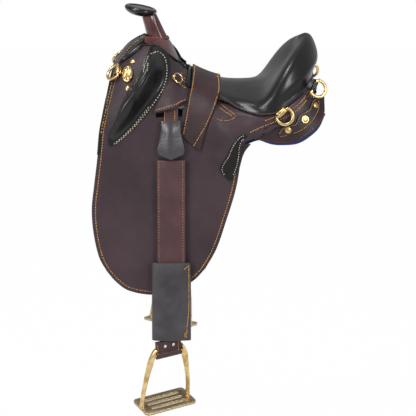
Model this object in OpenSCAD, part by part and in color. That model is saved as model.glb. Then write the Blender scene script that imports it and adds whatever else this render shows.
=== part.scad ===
// Horned stock saddle. Front is -X, the left (near) side is -Y, up is +Z.
// The origin lies on the ridge of the horse's back, in the middle of the saddle.

/* [Overall form] */
// Length from the front edge of the flaps to the rear of the panels
saddle_len = 548; // [480:1:620]
// Height of the fork's crown above the horse's back
crown_h = 188; // [165:1:210]
// Depth below the origin at which the flaps start to hang flat
bend_drop = 58; // [48:1:70]
// Half of the saddle's width at that line
bend_half_w = 175; // [155:1:195]
// Lean of the hanging flaps from the vertical, in degrees
flap_lean = 11; // [8:0.5:14]

/* [Leather] */
// Thickness of the flaps and the horn collar
flap_t = 5; // [4:0.1:6]
// Depth of the flaps' lower edge below the origin
flap_drop = 371; // [330:1:400]
// Thickness of overlays and sweat flaps
overlay_t = 3; // [2:0.1:4]
// Thickness of a girth billet
billet_t = 3.4; // [2.5:0.1:4]
// Width of a girth billet
billet_w = 28; // [22:1:32]
// Clearance between neighbouring layers
layer_gap = 0.4; // [0.3:0.05:0.6]
// Height of the knee pads above their flange
knee_pad_h = 44; // [30:1:55]
// Width of the overgirth on the seat
overgirth_w = 76; // [60:1:84]
// Width of the overgirth at the flap slots
overgirth_end_w = 42; // [34:1:48]

/* [Seat] */
// Thickness of the seat leather
seat_leather_t = 4; // [3:0.1:5]
// Thickness of the seat foam
seat_foam_t = 10; // [6:0.5:12]
// Thickness of the tree's seat and fork
tree_t = 9; // [7:0.5:12]
// Height of the cantle above the origin
cantle_h = 194; // [175:1:215]
// Half of the seat's greatest width
seat_half_w = 166; // [150:1:180]
// Thickness of the panels at their fullest
panel_t = 30; // [20:1:40]

/* [Horn] */
// Diameter of the horn cap
horn_cap_d = 76; // [60:1:90]
// Thickness of the horn cap
horn_cap_t = 18; // [14:0.5:24]
// Diameter of the horn neck at its foot
horn_foot_d = 48; // [42:1:56]
// Diameter of the horn neck under the cap
horn_top_d = 32; // [28:1:38]
// Height of the neck's top above the crown
horn_rise = 53; // [45:1:60]
// Forward lean of the neck, as an offset of its top
horn_lean = 17; // [10:1:24]
// Forward offset of the cap from the neck's top
cap_offset = 21; // [10:1:24]
// Diameter of the steel horn post
horn_post_d = 18; // [14:1:22]

/* [Stirrups] */
// Width of the stirrup leather
leather_w = 64; // [57:1:70]
// Thickness of the doubled stirrup leather
leather_t = 8; // [7:0.5:9]
// Width of the sleeve
sleeve_w = 90; // [82:1:96]
// Wall of the sleeve
sleeve_t = 3; // [2.5:0.1:3.5]
// Length of the sleeve
sleeve_len = 180; // [150:1:200]
// Distance along the leather from the bend line to the sleeve
sleeve_down = 243; // [220:1:260]
// Width of the bar strap
bar_strap_w = 32; // [28:1:38]
// Diameter of the stirrup bar and of the rod in the stirrup iron
rod_d = 10; // [8:0.5:11]
// Clearance between a pin and its bore, on the radius
pin_gap = 0.1; // [0.05:0.05:0.2]
// Turn of the hanging stirrup about the vertical, in degrees
stirrup_yaw = 32; // [0:1:40]
// Swing of the resting stirrup iron about its rod, in degrees
iron_tilt = 8; // [0:1:12]
// Distance by which the loop hangs ahead of the leather's middle
loop_ahead = 8; // [0:1:12]
// Length of the stirrup's tread
tread_len = 136; // [120:1:150]
// Depth of the stirrup's tread
tread_depth = 70; // [56:1:76]
// Height of the stirrup from its rod to the tread's top
stirrup_h = 128; // [105:1:140]
// Thickness of the stirrup's branches
branch_t = 8; // [6:0.5:10]

/* [Rings and trim] */
// Wire diameter of the dees
dee_wire = 7; // [5:0.5:8]
// Length of a dee's straight bar between wire centres
dee_bar = 37; // [32:1:42]
// Reach of a dee from its bar to the bow's wire centre
dee_reach = 31; // [26:1:36]
// Wire diameter of the tie rings
ring_wire = 3.4; // [3:0.1:4]
// Diameter of a tie ring at the wire's centre
ring_d = 23; // [20:1:26]
// Wall of a dee's clip round its bar
clip_wall = 1.6; // [1.2:0.1:2]
// Diameter of the rear conchos
concho_d = 17; // [14:1:20]
// Diameter of the pommel screws
screw_d = 13; // [10:1:15]
// Height of conchos and screw heads
concho_h = 3.4; // [2.5:0.1:4.5]

/* [Hidden] */
$fn = 32;
half_len = saddle_len / 2;
// Centre of the stirrup leather, ahead of the origin
leather_ahead_share = 0.3066;
leather_ahead = leather_ahead_share * half_len;
// A length too small to see, which keeps a direction from vanishing
hair = 0.01;

// Roundness of the form's cross-section
round_share = 1.447;
// Height of the crest along the length, in shares of half the length and of the crown's height
crest_shares = [[-1.05, 0.6], [-0.84, 0.64], [-0.78, 0.7], [-0.73, 0.79], [-0.675, 0.88],
    [-0.61, 0.945], [-0.54, 0.985], [-0.45, 1], [-0.37, 0.96], [-0.31, 0.86],
    [-0.26, 0.71], [-0.21, 0.635], [-0.155, 0.565], [0, 0.455], [0.12, 0.415], [0.25, 0.55], [0.45, 0.72],
    [0.64, 0.8], [0.82, 0.8], [1, 0.72]];
// Swell of the sides along the length
swell_shares = [[-1.05, 0.1], [-0.79, 0.14], [-0.675, 0.12], [-0.6, 0.08], [-0.47, 0.05], [-0.31, 0.06],
    [-0.157, 0.15], [0, 0.3], [0.09, 0.32], [0.25, 0.156], [0.45, 0.233],
    [0.64, 0.243], [0.82, 0.07], [1, -0.32]];

function flat(rows) = [for (row = rows) each row];
function mix(a, b, t) = a + (b - a) * t;
function ease(t) = let (c = max(0, min(1, t))) c * c * (3 - 2 * c);
function spread(a, b, n) = [for (i = [0 : n]) mix(a, b, i / n)];
// Smooth value of a table of [place, value] rows
function slope_at(tab, i) =
    let (a = max(0, i - 1), b = min(len(tab) - 1, i + 1)) (tab[b][1] - tab[a][1]) / (tab[b][0] - tab[a][0]);
function row_of(tab, x) = max([0, each [for (i = [0 : len(tab) - 2]) if (x >= tab[i][0]) i]]);
function smooth(tab, x) =
    let (i = row_of(tab, x), step = tab[i + 1][0] - tab[i][0])
    let (t = max(0, min(1, (x - tab[i][0]) / step)))
    let (a = slope_at(tab, i) * step, b = slope_at(tab, i + 1) * step)
    let (u = t * t, v = t * t * t)
    (2 * v - 3 * u + 1) * tab[i][1] + (v - 2 * u + t) * a + (3 * u - 2 * v) * tab[i + 1][1] + (v - u) * b;
// Point on a smooth curve through a list of points, for t from 0 to 1
function through(pts, t) =
    let (n = len(pts) - 1, i = min(n - 1, floor(t * n)), f = t * n - i)
    let (b = pts[i], c = pts[i + 1])
    let (a = i > 0 ? pts[i - 1] : 2 * b - c, d = i < n - 1 ? pts[i + 2] : 2 * c - b)
    0.5 * (2 * b + (c - a) * f + (2 * a - 5 * b + 4 * c - d) * f * f + (3 * b - a - 3 * c + d) * f * f * f);

// The form that all side leather lies on: x is the place along the length
// and q runs from the crest to the bend line
function crest(x) = crown_h * smooth(crest_shares, x / half_len);
function fall(x) = crest(x) + bend_drop;
function swell(x, q) = 1 + smooth(swell_shares, x / half_len) * pow(1 - pow(min(1, abs(q)), 4), 2);
function half_w(x, q) =
    sign(q) * bend_half_w * (round_share * abs(q) - (round_share - 1) * q * q) * swell(x, q);
function q_at(x, z) = sqrt(max(0, (crest(x) - z) / fall(x)));
function on_form(x, q) = [x, half_w(x, q), crest(x) - q * q * fall(x)];
function unit(v) = v / norm(v);
// Step over which a slope of the form is taken
slope_share = 0.005;
function form_normal(x, q) =
    let (d = slope_share, t = on_form(x, q + d) - on_form(x, q - d))
    let (s = on_form(x + half_len * d, q) - on_form(x - half_len * d, q))
    unit(cross(s, t));
function raised(x, q, d) = on_form(x, q) + d * form_normal(x, q);
// Left-side point at a length and a height, raised off the form
function side_point(p, d) = raised(p[0], -q_at(p[0], p[1]), d);

// Solid between two grids of points
function faces_of(rows, cols) =
    let (n = rows * cols)
    [for (i = [0 : rows - 2], j = [0 : cols - 2])
        let (a = i * cols + j, b = a + cols, c = b + 1, d = a + 1)
        each [[a, b, c], [a, c, d], [n + c, n + b, n + a], [n + d, n + c, n + a]]];
function wall_faces(loop, n) =
    [for (i = [0 : len(loop) - 1])
        let (a = loop[i], b = loop[(i + 1) % len(loop)])
        each [[a, b, n + b], [a, n + b, n + a]]];
function rim_of(rows, cols) = concat(
    [for (j = [0 : cols - 2]) j],
    [for (i = [0 : rows - 2]) i * cols + cols - 1],
    [for (j = [cols - 1 : -1 : 1]) (rows - 1) * cols + j],
    [for (i = [rows - 1 : -1 : 1]) i * cols]);
function turned(faces) = [for (f = faces) [f[2], f[1], f[0]]];
module between(top, base) {
    rows = len(top);
    cols = len(top[0]);
    i = floor(rows / 2);
    j = floor(cols / 2);
    out = top[i][j] - base[i][j];
    up = cross(top[i][j] - top[i - 1][j], top[i][j] - top[i][j - 1]) * out > 0;
    faces = concat(faces_of(rows, cols), wall_faces(rim_of(rows, cols), rows * cols));
    polyhedron(concat(flat(top), flat(base)), up ? turned(faces) : faces);
}
// Leather on the left side over a grid of [x, z] places, between two heights off the form
module side_leather(grid, low, high) {
    top = [for (row = grid) [for (p = row) side_point(p, high)]];
    base = [for (row = grid) [for (p = row) side_point(p, low)]];
    between(top, base);
}
module both_sides() {
    children();
    mirror([0, 1, 0]) children();
}

// The hanging plane of the left flap: local x along the saddle, y up the slope, z outward
module side_plane() {
    c = cos(flap_lean);
    s = sin(flap_lean);
    multmatrix([[1, 0, 0, 0], [0, s, -c, -bend_half_w], [0, c, s, -bend_drop], [0, 0, 0, 1]]) children();
}
function slope_y(z) = (z + bend_drop) / cos(flap_lean);
// The line at which the flap folds, a little below the bend line
fold_drop = 12;
fold_z = -bend_drop - fold_drop * cos(flap_lean);
// Frame on the left side: local z off the form, local x turned by an angle from the rear
module on_side(x, z, d, turn) {
    q = -q_at(x, z);
    n = form_normal(x, q);
    a = unit([1, 0, 0] - (n * [1, 0, 0]) * n);
    b = cross(n, a);
    u = cos(turn) * a + sin(turn) * b;
    v = cross(n, u);
    p = raised(x, q, d);
    multmatrix([[u[0], v[0], n[0], p[0]], [u[1], v[1], n[1], p[1]], [u[2], v[2], n[2], p[2]], [0, 0, 0, 1]])
        children();
}

// Top and lower edges of the flap's upper part, in shares of half the length and of the crown's height
flap_top_shares = [[-0.92, -0.03], [-0.91, 0.06], [-0.89, 0.22], [-0.865, 0.41], [-0.83, 0.57],
    [-0.79, 0.665], [-0.74, 0.755], [-0.7, 0.82], [-0.65, 0.89], [-0.6, 0.93], [-0.474, 0.926],
    [-0.4, 0.885], [-0.32, 0.79], [-0.26, 0.68], [-0.21, 0.61], [-0.155, 0.54], [-0.07, 0.45],
    [-0.03, 0.405], [0, 0.37], [0.09, 0.305], [0.15, 0.276], [0.263, 0.219],
    [0.394, 0.177], [0.493, 0.178], [0.584, 0.216], [0.664, 0.3], [0.76, 0.41]];
flap_low_shares = [[0.268, -0.38], [0.272, -0.3], [0.278, -0.16], [0.3, -0.1], [0.332, -0.03],
    [0.394, 0.025], [0.49, 0.085], [0.606, 0.138], [0.73, 0.223], [0.76, 0.25]];
function flap_top_z(x) = crown_h * smooth(flap_top_shares, x / half_len);
function flap_low_z(x) =
    let (s = x / half_len)
    s < flap_low_shares[0][0] ? fold_z : max(fold_z, crown_h * smooth(flap_low_shares, s));
// Outline of the hanging flap from its front top corner round to the rear one
flap_outline_shares = [[-0.916, 0], [-0.95, 0.2], [-0.972, 0.37], [-0.96, 0.54], [-0.917, 0.72],
    [-0.85, 0.827], [-0.66, 0.973], [-0.47, 1], [-0.29, 0.975], [-0.124, 0.898], [-0.022, 0.808],
    [0.073, 0.661], [0.15, 0.47], [0.226, 0.256], [0.262, 0.09], [0.27, 0]];
function hang_points(shares, steps) =
    let (pts = [for (s = shares) [s[0] * half_len, -s[1] * (flap_drop - bend_drop) / cos(flap_lean)]])
    [for (i = [0 : steps]) through(pts, i / steps)];

// Stations of the flap's upper part, closer together at its curved front edge
flap_x_shares = [-0.92, -0.908, -0.89, -0.87, -0.845, -0.815, -0.777, -0.72, -0.66, -0.6, -0.54, -0.474,
    -0.41, -0.35, -0.29, -0.23, -0.17, -0.11, -0.05, 0.02, 0.09, 0.16, 0.22, 0.272, 0.285, 0.31, 0.35, 0.42,
    0.5, 0.58, 0.67, 0.74];
flap_rows = 9;
slot_w = 72;
slot_h = 40;
slot_z = 46;
overgirth_slot_h = 9;
module flap_top() {
    grid = [for (s = flap_x_shares)
        let (x = s * half_len, a = q_at(x, flap_top_z(x)), b = q_at(x, flap_low_z(x)))
        [for (q = spread(a, b, flap_rows)) [x, crest(x) - q * q * fall(x)]]];
    difference() {
        side_leather(grid, 0, flap_t);
        side_plane() translate([-leather_ahead - slot_w / 2, slope_y(slot_z) - slot_h / 2, -slot_h])
            cube([slot_w, slot_h, slot_h * 2]);
        overgirth_place() translate([0, 0, -slot_h / 2])
            cube([overgirth_end_w + overgirth_slot_h, overgirth_slot_h, slot_h], center = true);
    }
}
// The place where the overgirth goes through the flap, on the left side
overgirth_x_share = -0.14;
overgirth_z = -30;
overgirth_turn = 40;
module overgirth_place() {
    on_side(overgirth_x_share * half_len, overgirth_z, flap_t, -overgirth_turn) children();
}
module flap() {
    side_plane() linear_extrude(flap_t) intersection() {
        polygon(hang_points(flap_outline_shares, 48));
        translate([-saddle_len, -saddle_len - fold_drop - layer_gap]) square([2 * saddle_len, saddle_len]);
    }
}
module flap_top_left() {
    color("#3a2420") flap_top();
}
module flap_top_right() {
    color("#3a2420") mirror([0, 1, 0]) flap_top();
}
module flap_left() {
    color("#3a2420") flap();
}
module flap_right() {
    color("#3a2420") mirror([0, 1, 0]) flap();
}

// Sweat flap: a little shorter than the flap, with an ear behind its rear edge
sweat_outline_shares = [[-0.88, -0.04], [-0.93, 0.35], [-0.9, 0.62], [-0.8, 0.83], [-0.62, 0.93],
    [-0.45, 0.95], [-0.2, 0.89], [-0.05, 0.77], [0.09, 0.57], [0.2, 0.3], [0.26, 0.1], [0.3, -0.02],
    [0.36, -0.09]];
sweat_low = layer_gap + billet_t + layer_gap;
module sweat_flap() {
    side_plane() translate([0, 0, -sweat_low - overlay_t]) linear_extrude(overlay_t)
        polygon(hang_points(sweat_outline_shares, 40));
}
module sweat_flap_left() {
    color("#2c1a16") sweat_flap();
}
module sweat_flap_right() {
    color("#2c1a16") mirror([0, 1, 0]) sweat_flap();
}
billet_x_shares = [-0.33, -0.2, -0.07];
billet_len = 250;
module girth_billets() {
    color("#4a2a1c") both_sides() side_plane()
        for (s = billet_x_shares)
            translate([s * half_len - billet_w / 2, -billet_len, -layer_gap - billet_t])
                cube([billet_w, billet_len, billet_t]);
}

// Thigh patch: the part on the hanging flap and the part above the bend line
patch_shares = [[0.14, 0.042], [0.1, 0.085], [0.18, 0.175], [0.235, 0.12], [0.254, 0.042]];
module thigh_patch() {
    hang = (flap_drop - bend_drop) / cos(flap_lean);
    side_plane() translate([0, 0, flap_t]) linear_extrude(overlay_t)
        polygon([for (s = patch_shares) [s[0] * half_len, -s[1] * hang]]);
}
module thigh_patch_left() {
    color("#1b1918") thigh_patch();
}
module thigh_patch_right() {
    color("#1b1918") mirror([0, 1, 0]) thigh_patch();
}
patch_front_shares = [[0.15, -0.36], [0.16, -0.3], [0.2, -0.18], [0.255, -0.08], [0.3, -0.05]];
patch_rear_shares = [[0.26, -0.36], [0.262, -0.3], [0.266, -0.17], [0.285, -0.1], [0.31, -0.06]];
module thigh_patch_tops() {
    front = [for (s = patch_front_shares) [s[0] * half_len, s[1] * crown_h]];
    rear = [for (s = patch_rear_shares) [s[0] * half_len, s[1] * crown_h]];
    us = spread(0, 1, 4);
    grid = [for (t = spread(0, 1, 7)) [for (u = us) mix(through(front, t), through(rear, t), u)]];
    low = flap_t + 2 * layer_gap;
    color("#1b1918") both_sides() side_leather(grid, low, low + overlay_t);
}

// Knee pad: a stitched flange with a padded roll that is highest along its front
knee_front_shares = [[-0.47, 0.9], [-0.51, 0.77], [-0.535, 0.67], [-0.59, 0.55], [-0.67, 0.4],
    [-0.75, 0.18], [-0.81, 0], [-0.828, -0.08], [-0.82, -0.17]];
knee_rear_shares = [[-0.445, 0.905], [-0.37, 0.84], [-0.34, 0.68], [-0.385, 0.48], [-0.478, 0.277],
    [-0.585, 0.08], [-0.7, -0.08], [-0.765, -0.15], [-0.81, -0.185]];
// Stations across the pad
knee_width_shares = [0, 0.06, 0.1, 0.18, 0.3, 0.42, 0.55, 0.68, 0.8, 0.88, 1];
knee_low = flap_t + layer_gap;
// Shares of the pad's width: the front flange, the crest of the roll, and its rear slope
knee_flange_share = 0.06;
knee_crest_share = 0.3;
knee_slope_share = 0.56;
knee_full_share = 0.7;
knee_tip_share = 0.87;
function knee_bulge(t, u) =
    let (a = sin(180 * ease(t / knee_tip_share)), rise = knee_crest_share - knee_flange_share)
    let (ahead = sqrt(max(0, 1 - pow((knee_crest_share - u) / rise, 2))))
    let (behind = 1 - ease((u - knee_crest_share) / knee_slope_share))
    let (b = u < knee_flange_share ? 0 : u < knee_crest_share ? ahead : behind)
    b * pow(max(0, a), knee_full_share);
module knee_pad() {
    front = [for (s = knee_front_shares) [s[0] * half_len, s[1] * crown_h]];
    rear = [for (s = knee_rear_shares) [s[0] * half_len, s[1] * crown_h]];
    ts = spread(0, 1, 18);
    us = knee_width_shares;
    spots = [for (t = ts) [for (u = us) mix(through(front, t), through(rear, t), u)]];
    top = [for (i = [0 : len(ts) - 1]) [for (j = [0 : len(us) - 1])
        side_point(spots[i][j], knee_low + overlay_t + knee_pad_h * knee_bulge(ts[i], us[j]))]];
    base = [for (row = spots) [for (p = row) side_point(p, knee_low)]];
    between(top, base);
}
module knee_pad_left() {
    color("#1d1d20") knee_pad();
}
module knee_pad_right() {
    color("#1d1d20") mirror([0, 1, 0]) knee_pad();
}

// Cover over each stirrup bar: lies on the flap at its top and stands off it at its lip
cover_lip = 13;
cover_end_share = 0.08;
cover_low_shares = [[-0.455, 0.2], [-0.36, 0.225], [-0.27, 0.26], [-0.185, 0.3]];
cover_high_shares = [[-0.355, 0.5], [-0.31, 0.54], [-0.26, 0.52], [-0.19, 0.43]];
module bar_covers() {
    low = [for (s = cover_low_shares) [s[0] * half_len, s[1] * crown_h]];
    high = [for (s = cover_high_shares) [s[0] * half_len, s[1] * crown_h]];
    ts = spread(0, 1, 10);
    us = spread(0, 1, 6);
    spots = [for (t = ts) [for (u = us) mix(through(low, t), through(high, t), u)]];
    bow = function (t) sin(180 * mix(cover_end_share, 1 - cover_end_share, t));
    lift = [for (t = ts) [for (u = us) flap_t + 3 * layer_gap + cover_lip * pow(1 - u, 2) * bow(t)]];
    n = [for (i = [0 : len(ts) - 1]) i];
    m = [for (j = [0 : len(us) - 1]) j];
    top = [for (i = n) [for (j = m) side_point(spots[i][j], lift[i][j] + overlay_t)]];
    base = [for (i = n) [for (j = m) side_point(spots[i][j], lift[i][j])]];
    color("#41261f") both_sides() between(top, base);
}

// Fork of the tree, gullet plate and side bars
fork_from_share = -0.66;
fork_to_share = -0.45;
fork_foot_z = 20;
fork_rows = 18;
plate_inset_shares = [0.02, 0.04];
module over_crest(from, to, steps, foot_z, rows, low, high) {
    xs = spread(from, to, steps);
    top = [for (x = xs) let (e = q_at(x, foot_z)) [for (q = spread(-e, e, rows)) raised(x, q, high)]];
    base = [for (x = xs) let (e = q_at(x, foot_z)) [for (q = spread(-e, e, rows)) raised(x, q, low)]];
    between(top, base);
}
module tree_fork() {
    color("#b9986a") difference() {
        over_crest(fork_from_share * half_len, fork_to_share * half_len, 5, fork_foot_z, fork_rows,
            -4 * layer_gap - 2 * tree_t, -4 * layer_gap);
        horn_axis() translate([0, 0, -crown_h / 2]) cylinder(d = horn_post_d + 2 * pin_gap, h = crown_h);
    }
}
plate_t = 4;
plate_foot_z = 40;
module gullet_plate() {
    from = (fork_from_share + plate_inset_shares[0]) * half_len;
    to = (fork_to_share - plate_inset_shares[1]) * half_len;
    high = -2 * tree_t - 6 * layer_gap;
    color("#7d8288") over_crest(from, to, 4, plate_foot_z, fork_rows, high - plate_t, high);
}
bar_out = 2 * tree_t + 6 * layer_gap;
bar_top_shares = [[-0.64, 0.19], [-0.45, 0.19], [-0.3, 0.28], [-0.1, 0.35], [0.1, 0.34], [0.24, 0.34]];
bar_foot_share = -0.12;
bar_end_shares = [-0.64, 0.24];
module tree_bars() {
    xs = spread(bar_end_shares[0] * half_len, bar_end_shares[1] * half_len, 14);
    top_z = [for (x = xs) crown_h * smooth(bar_top_shares, x / half_len)];
    grid = [for (i = [0 : len(xs) - 1])
        [for (u = spread(0, 1, 4)) [xs[i], mix(top_z[i], crown_h * bar_foot_share, u)]]];
    color("#b9986a") both_sides() side_leather(grid, -bar_out - tree_t, -bar_out);
}

// Seat: centre line, rim crest and lower edge at stations
// from the front tongue round to the back of the cantle
seat_centre_shares = [[-0.18, 0.577], [-0.07, 0.5], [0.037, 0.456], [0.146, 0.433], [0.274, 0.423],
    [0.4, 0.428], [0.493, 0.443], [0.577, 0.5], [0.65, 0.577], [0.712, 0.67], [0.76, 0.773],
    [0.785, 0.88], [0.803, 0.96]];
seat_rim_shares = [[-0.18, 0.06, 0.568], [-0.07, 0.27, 0.475], [0.037, 0.42, 0.42], [0.146, 0.55, 0.355],
    [0.274, 0.7, 0.318], [0.394, 0.81, 0.306], [0.482, 0.86, 0.358], [0.566, 0.83, 0.515],
    [0.657, 0.72, 0.696], [0.734, 0.54, 0.83], [0.8, 0.36, 0.905], [0.84, 0.18, 0.955],
    [0.858, 0, 0.975]];
seat_edge_shares = [[-0.18, 0.1, 0.55], [-0.07, 0.4, 0.445], [0.037, 0.575, 0.375], [0.146, 0.72, 0.325],
    [0.263, 0.85, 0.25], [0.394, 0.96, 0.205], [0.493, 1, 0.205], [0.584, 0.99, 0.235],
    [0.664, 0.935, 0.315], [0.76, 0.83, 0.412], [0.84, 0.65, 0.5], [0.885, 0.39, 0.557],
    [0.9, 0, 0.582]];
function sized(s) = [s[0] * half_len, -s[1] * seat_half_w, s[2] * cantle_h];
seat_centre = [for (s = seat_centre_shares) [s[0] * half_len, 0, s[1] * cantle_h]];
seat_rim = [for (s = seat_rim_shares) sized(s)];
seat_edge = [for (s = seat_edge_shares) sized(s)];
// Bulge of the seat's outer side, between the rim and the lower edge
seat_bulge_shares = [[0, 0], [0.25, 0], [0.45, 0.25], [0.7, 0.5], [1, 1]];
seat_bulge = 10;
function seat_point(t, r) =
    let (c = through(seat_centre, t), m = through(seat_rim, t), e = through(seat_edge, t))
    let (away = unit([max(hair, m[0] - half_len / 2), m[1] - hair, 0]))
    let (b = (m + e) / 2 + away * seat_bulge * smooth(seat_bulge_shares, t))
    let (chain = [[m[0], -m[1], m[2]], c, m, b, e, 2 * e - b], i = min(2, floor(r)), f = r - i)
    let (p = [for (k = [0 : 3]) chain[i + k]])
    0.5 * (2 * p[1] + (p[2] - p[0]) * f + (2 * p[0] - 5 * p[1] + 4 * p[2] - p[3]) * f * f
        + (3 * p[1] - p[0] - 3 * p[2] + p[3]) * f * f * f);
// Step over which a slope of the seat is taken
seat_step_share = 0.01;
function seat_normal(t, r) =
    let (d = seat_step_share, a = max(0, t - d), b = min(1, t + d))
    let (lo = max(2 * d, r - d), hi = max(lo + d, min(3, r + d)))
    let (n = cross(seat_point(b, r) - seat_point(a, r), seat_point(t, lo) - seat_point(t, hi)))
    let (m = t > 1 - seat_step_share ? [n[0], 0, n[2]] : r < seat_step_share ? [n[0], 0, n[2]] : n)
    unit(m);
function seat_in(t, r, d) = seat_point(t, r) - d * seat_normal(t, r);
// Left and right halves of a seat layer share their points on the middle plane
module seat_layer(from, to, reach, deep, high) {
    n = 20;
    rs = spread(reach, 0, reach > 1 ? 12 : 8);
    m = len(rs) - 1;
    half = function (d) [for (i = [0 : n]) [for (r = rs) seat_in(mix(from, to, i / n), r, d)]];
    mirrored = function (row) [for (j = [m - 1 : -1 : 0]) [row[j][0], -row[j][1], row[j][2]]];
    whole = function (g) [for (row = g) concat(row, mirrored(row))];
    top = whole(half(high));
    base = whole(half(deep));
    cols = 2 * m + 1;
    rows = n + 1;
    closed = to == 1;
    last = (rows - 1) * cols;
    id = function (k) let (j = k % cols, s = k % (rows * cols))
        closed && s >= last && j > m ? k - 2 * (j - m) : k;
    rim = closed
        ? concat([for (i = [rows - 1 : -1 : 1]) i * cols], [for (j = [0 : cols - 2]) j],
            [for (i = [0 : rows - 2]) i * cols + cols - 1])
        : rim_of(rows, cols);
    walls = wall_faces(rim, rows * cols);
    fixed = [for (f = concat(faces_of(rows, cols), walls)) [id(f[0]), id(f[1]), id(f[2])]];
    kept = [for (f = fixed) if (f[0] != f[1] && f[1] != f[2] && f[0] != f[2]) f];
    polyhedron(concat(flat(top), flat(base)), turned(kept));
}
module seat_cover() {
    color("#1b1b1e") seat_layer(0, 1, 3, seat_leather_t, 0);
}
foam_reach_share = 0.82;
foam_from_share = 0.06;
foam_to_share = 0.8;
module seat_foam() {
    high = seat_leather_t + 3 * layer_gap;
    color("#d8d2c0") seat_layer(foam_from_share, foam_to_share, foam_reach_share, high + seat_foam_t, high);
}
tree_reach_share = 0.76;
tree_from_share = 0.1;
tree_to_share = 0.74;
module tree_seat() {
    deep = seat_leather_t + seat_foam_t + 6 * layer_gap;
    color("#b9986a") seat_layer(tree_from_share, tree_to_share, tree_reach_share, deep + tree_t, deep);
}

// Strip of leather round the back of the cantle, under the seat's edge
jockey_t = 4;
jockey_h = 34;
jockey_out = 7;
jockey_drop = 1.5;
jockey_from_share = 0.78;
module rear_jockey() {
    ts = spread(jockey_from_share, 1, 7);
    left = [for (t = ts) through(seat_edge, t) - [0, 0, jockey_drop]];
    line = concat(left, [for (i = [len(left) - 2 : -1 : 0]) [left[i][0], -left[i][1], left[i][2]]]);
    away = [for (p = line) unit([p[0] - half_len / 2, p[1], 0])];
    top = [for (i = [0 : len(line) - 1]) [for (u = spread(0, 1, 4))
        line[i] + away[i] * jockey_out * u + [0, 0, -jockey_h * u]]];
    base = [for (i = [0 : len(line) - 1]) [for (u = spread(0, 1, 4))
        line[i] + away[i] * (jockey_out * u - jockey_t) + [0, 0, -jockey_h * u]]];
    color("#33201b") between(top, base);
}

// Binding along the front edge of the pommel, from one side over the crown to the other
binding_w_share = 0.05;
binding_z_shares = [-0.05, 0.1, 0.25, 0.38, 0.48, 0.57, 0.65, 0.73, 0.79];
binding_crown_shares = [[-0.69, -0.11], [-0.665, -0.075], [-0.645, -0.035], [-0.637, 0]];
binding_edge_share = 0.005;
front_edge_share = -0.65;
module front_binding() {
    edge = [for (r = flap_top_shares) if (r[0] < front_edge_share) [r[1], r[0]]];
    side = [for (s = binding_z_shares) [half_len * smooth(edge, s), s * crown_h]];
    front = [for (p = side) [p[0], -q_at(p[0], p[1])]];
    crown = [for (s = binding_crown_shares) [s[0] * half_len, s[1]]];
    near = concat(front, crown);
    far = [for (i = [len(near) - 2 : -1 : 0]) [near[i][0], -near[i][1]]];
    low = flap_t + 2 * layer_gap;
    from = -half_len * binding_edge_share;
    xs = spread(from, from + half_len * binding_w_share, 2);
    top = [for (p = concat(near, far)) [for (x = xs) raised(p[0] + x, p[1], low + overlay_t)]];
    base = [for (p = concat(near, far)) [for (x = xs) raised(p[0] + x, p[1], low)]];
    color("#17171a") between(top, base);
}

// Overgirth: over the seat's waist and down to the flap slots
overgirth_t = 3.5;
overgirth_low = flap_t + 2 * layer_gap;
overgirth_mid_share = -0.018;
seat_lift = 5;
overgirth_lean_share = 0.2;
overgirth_rest_shares = [0.4, 0.3];
module overgirth() {
    q_end = q_at(overgirth_x_share * half_len, overgirth_z);
    qs = spread(-q_end, q_end, 28);
    way = function (u) mix(overgirth_mid_share, overgirth_x_share, u * u) * half_len;
    line = [for (q = qs) let (u = abs(q) / q_end) [way(u), mix(overgirth_w, overgirth_end_w, ease(u)), u]];
    lean = function (u) tan(overgirth_turn) * ease(mix(-overgirth_lean_share, 1, u)) / 2;
    places = [for (i = [0 : len(qs) - 1]) [for (s = spread(-1 / 2, 1 / 2, 4))
        [line[i][0] + s * line[i][1], qs[i] + sign(qs[i]) * s * line[i][1] * lean(line[i][2]) / crown_h]]];
    rest = overgirth_rest_shares;
    lift = [for (q = qs) overgirth_low + seat_lift * (1 - ease((abs(q) / q_end - rest[0]) / rest[1]))];
    top = [for (i = [0 : len(qs) - 1]) [for (p = places[i]) raised(p[0], p[1], lift[i] + overgirth_t)]];
    base = [for (i = [0 : len(qs) - 1]) [for (p = places[i]) raised(p[0], p[1], lift[i])]];
    color("#4a2a20") between(top, base);
}

// Horn: steel post in the fork, leather neck, cap, and the collar that covers the pommel's top
horn_x_share = -0.445;
horn_foot_up = 2;
horn_foot = [horn_x_share * half_len, 0, crown_h + horn_foot_up];
horn_top = horn_foot + [-horn_lean, 0, horn_rise - horn_foot_up];
horn_tilt = atan(horn_lean / (horn_rise - horn_foot_up));
cap_tilt = 13;
post_foot_depth = 14;
module horn_axis() {
    translate(horn_foot) rotate([0, -horn_tilt, 0]) children();
}
module horn_post() {
    color("#7d8288") horn_axis() translate([0, 0, -post_foot_depth])
        cylinder(d = horn_post_d, h = norm(horn_top - horn_foot));
}
module horn_neck() {
    rise = norm(horn_top - horn_foot);
    foot = 2 * post_foot_depth;
    flare = (horn_foot_d - horn_top_d) / rise * foot;
    color("#5a2c20") difference() {
        horn_axis() translate([0, 0, -foot])
            cylinder(d1 = horn_foot_d + flare, d2 = horn_top_d, h = rise + foot);
        horn_axis() translate([0, 0, -crown_h / 2])
            cylinder(d = horn_post_d + 2 * pin_gap, h = crown_h / 2 + rise - post_foot_depth + layer_gap);
        translate([-saddle_len, -half_len, -layer_gap])
            cube([2 * saddle_len, saddle_len, crown_h + 2 * layer_gap]);
        cap_place() translate([0, 0, -layer_gap]) cylinder(d = 2 * horn_cap_d, h = horn_cap_t * 2);
    }
}
module cap_place() {
    translate(horn_top + [-cap_offset, 0, 0]) rotate([0, cap_tilt, 0]) children();
}
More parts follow.
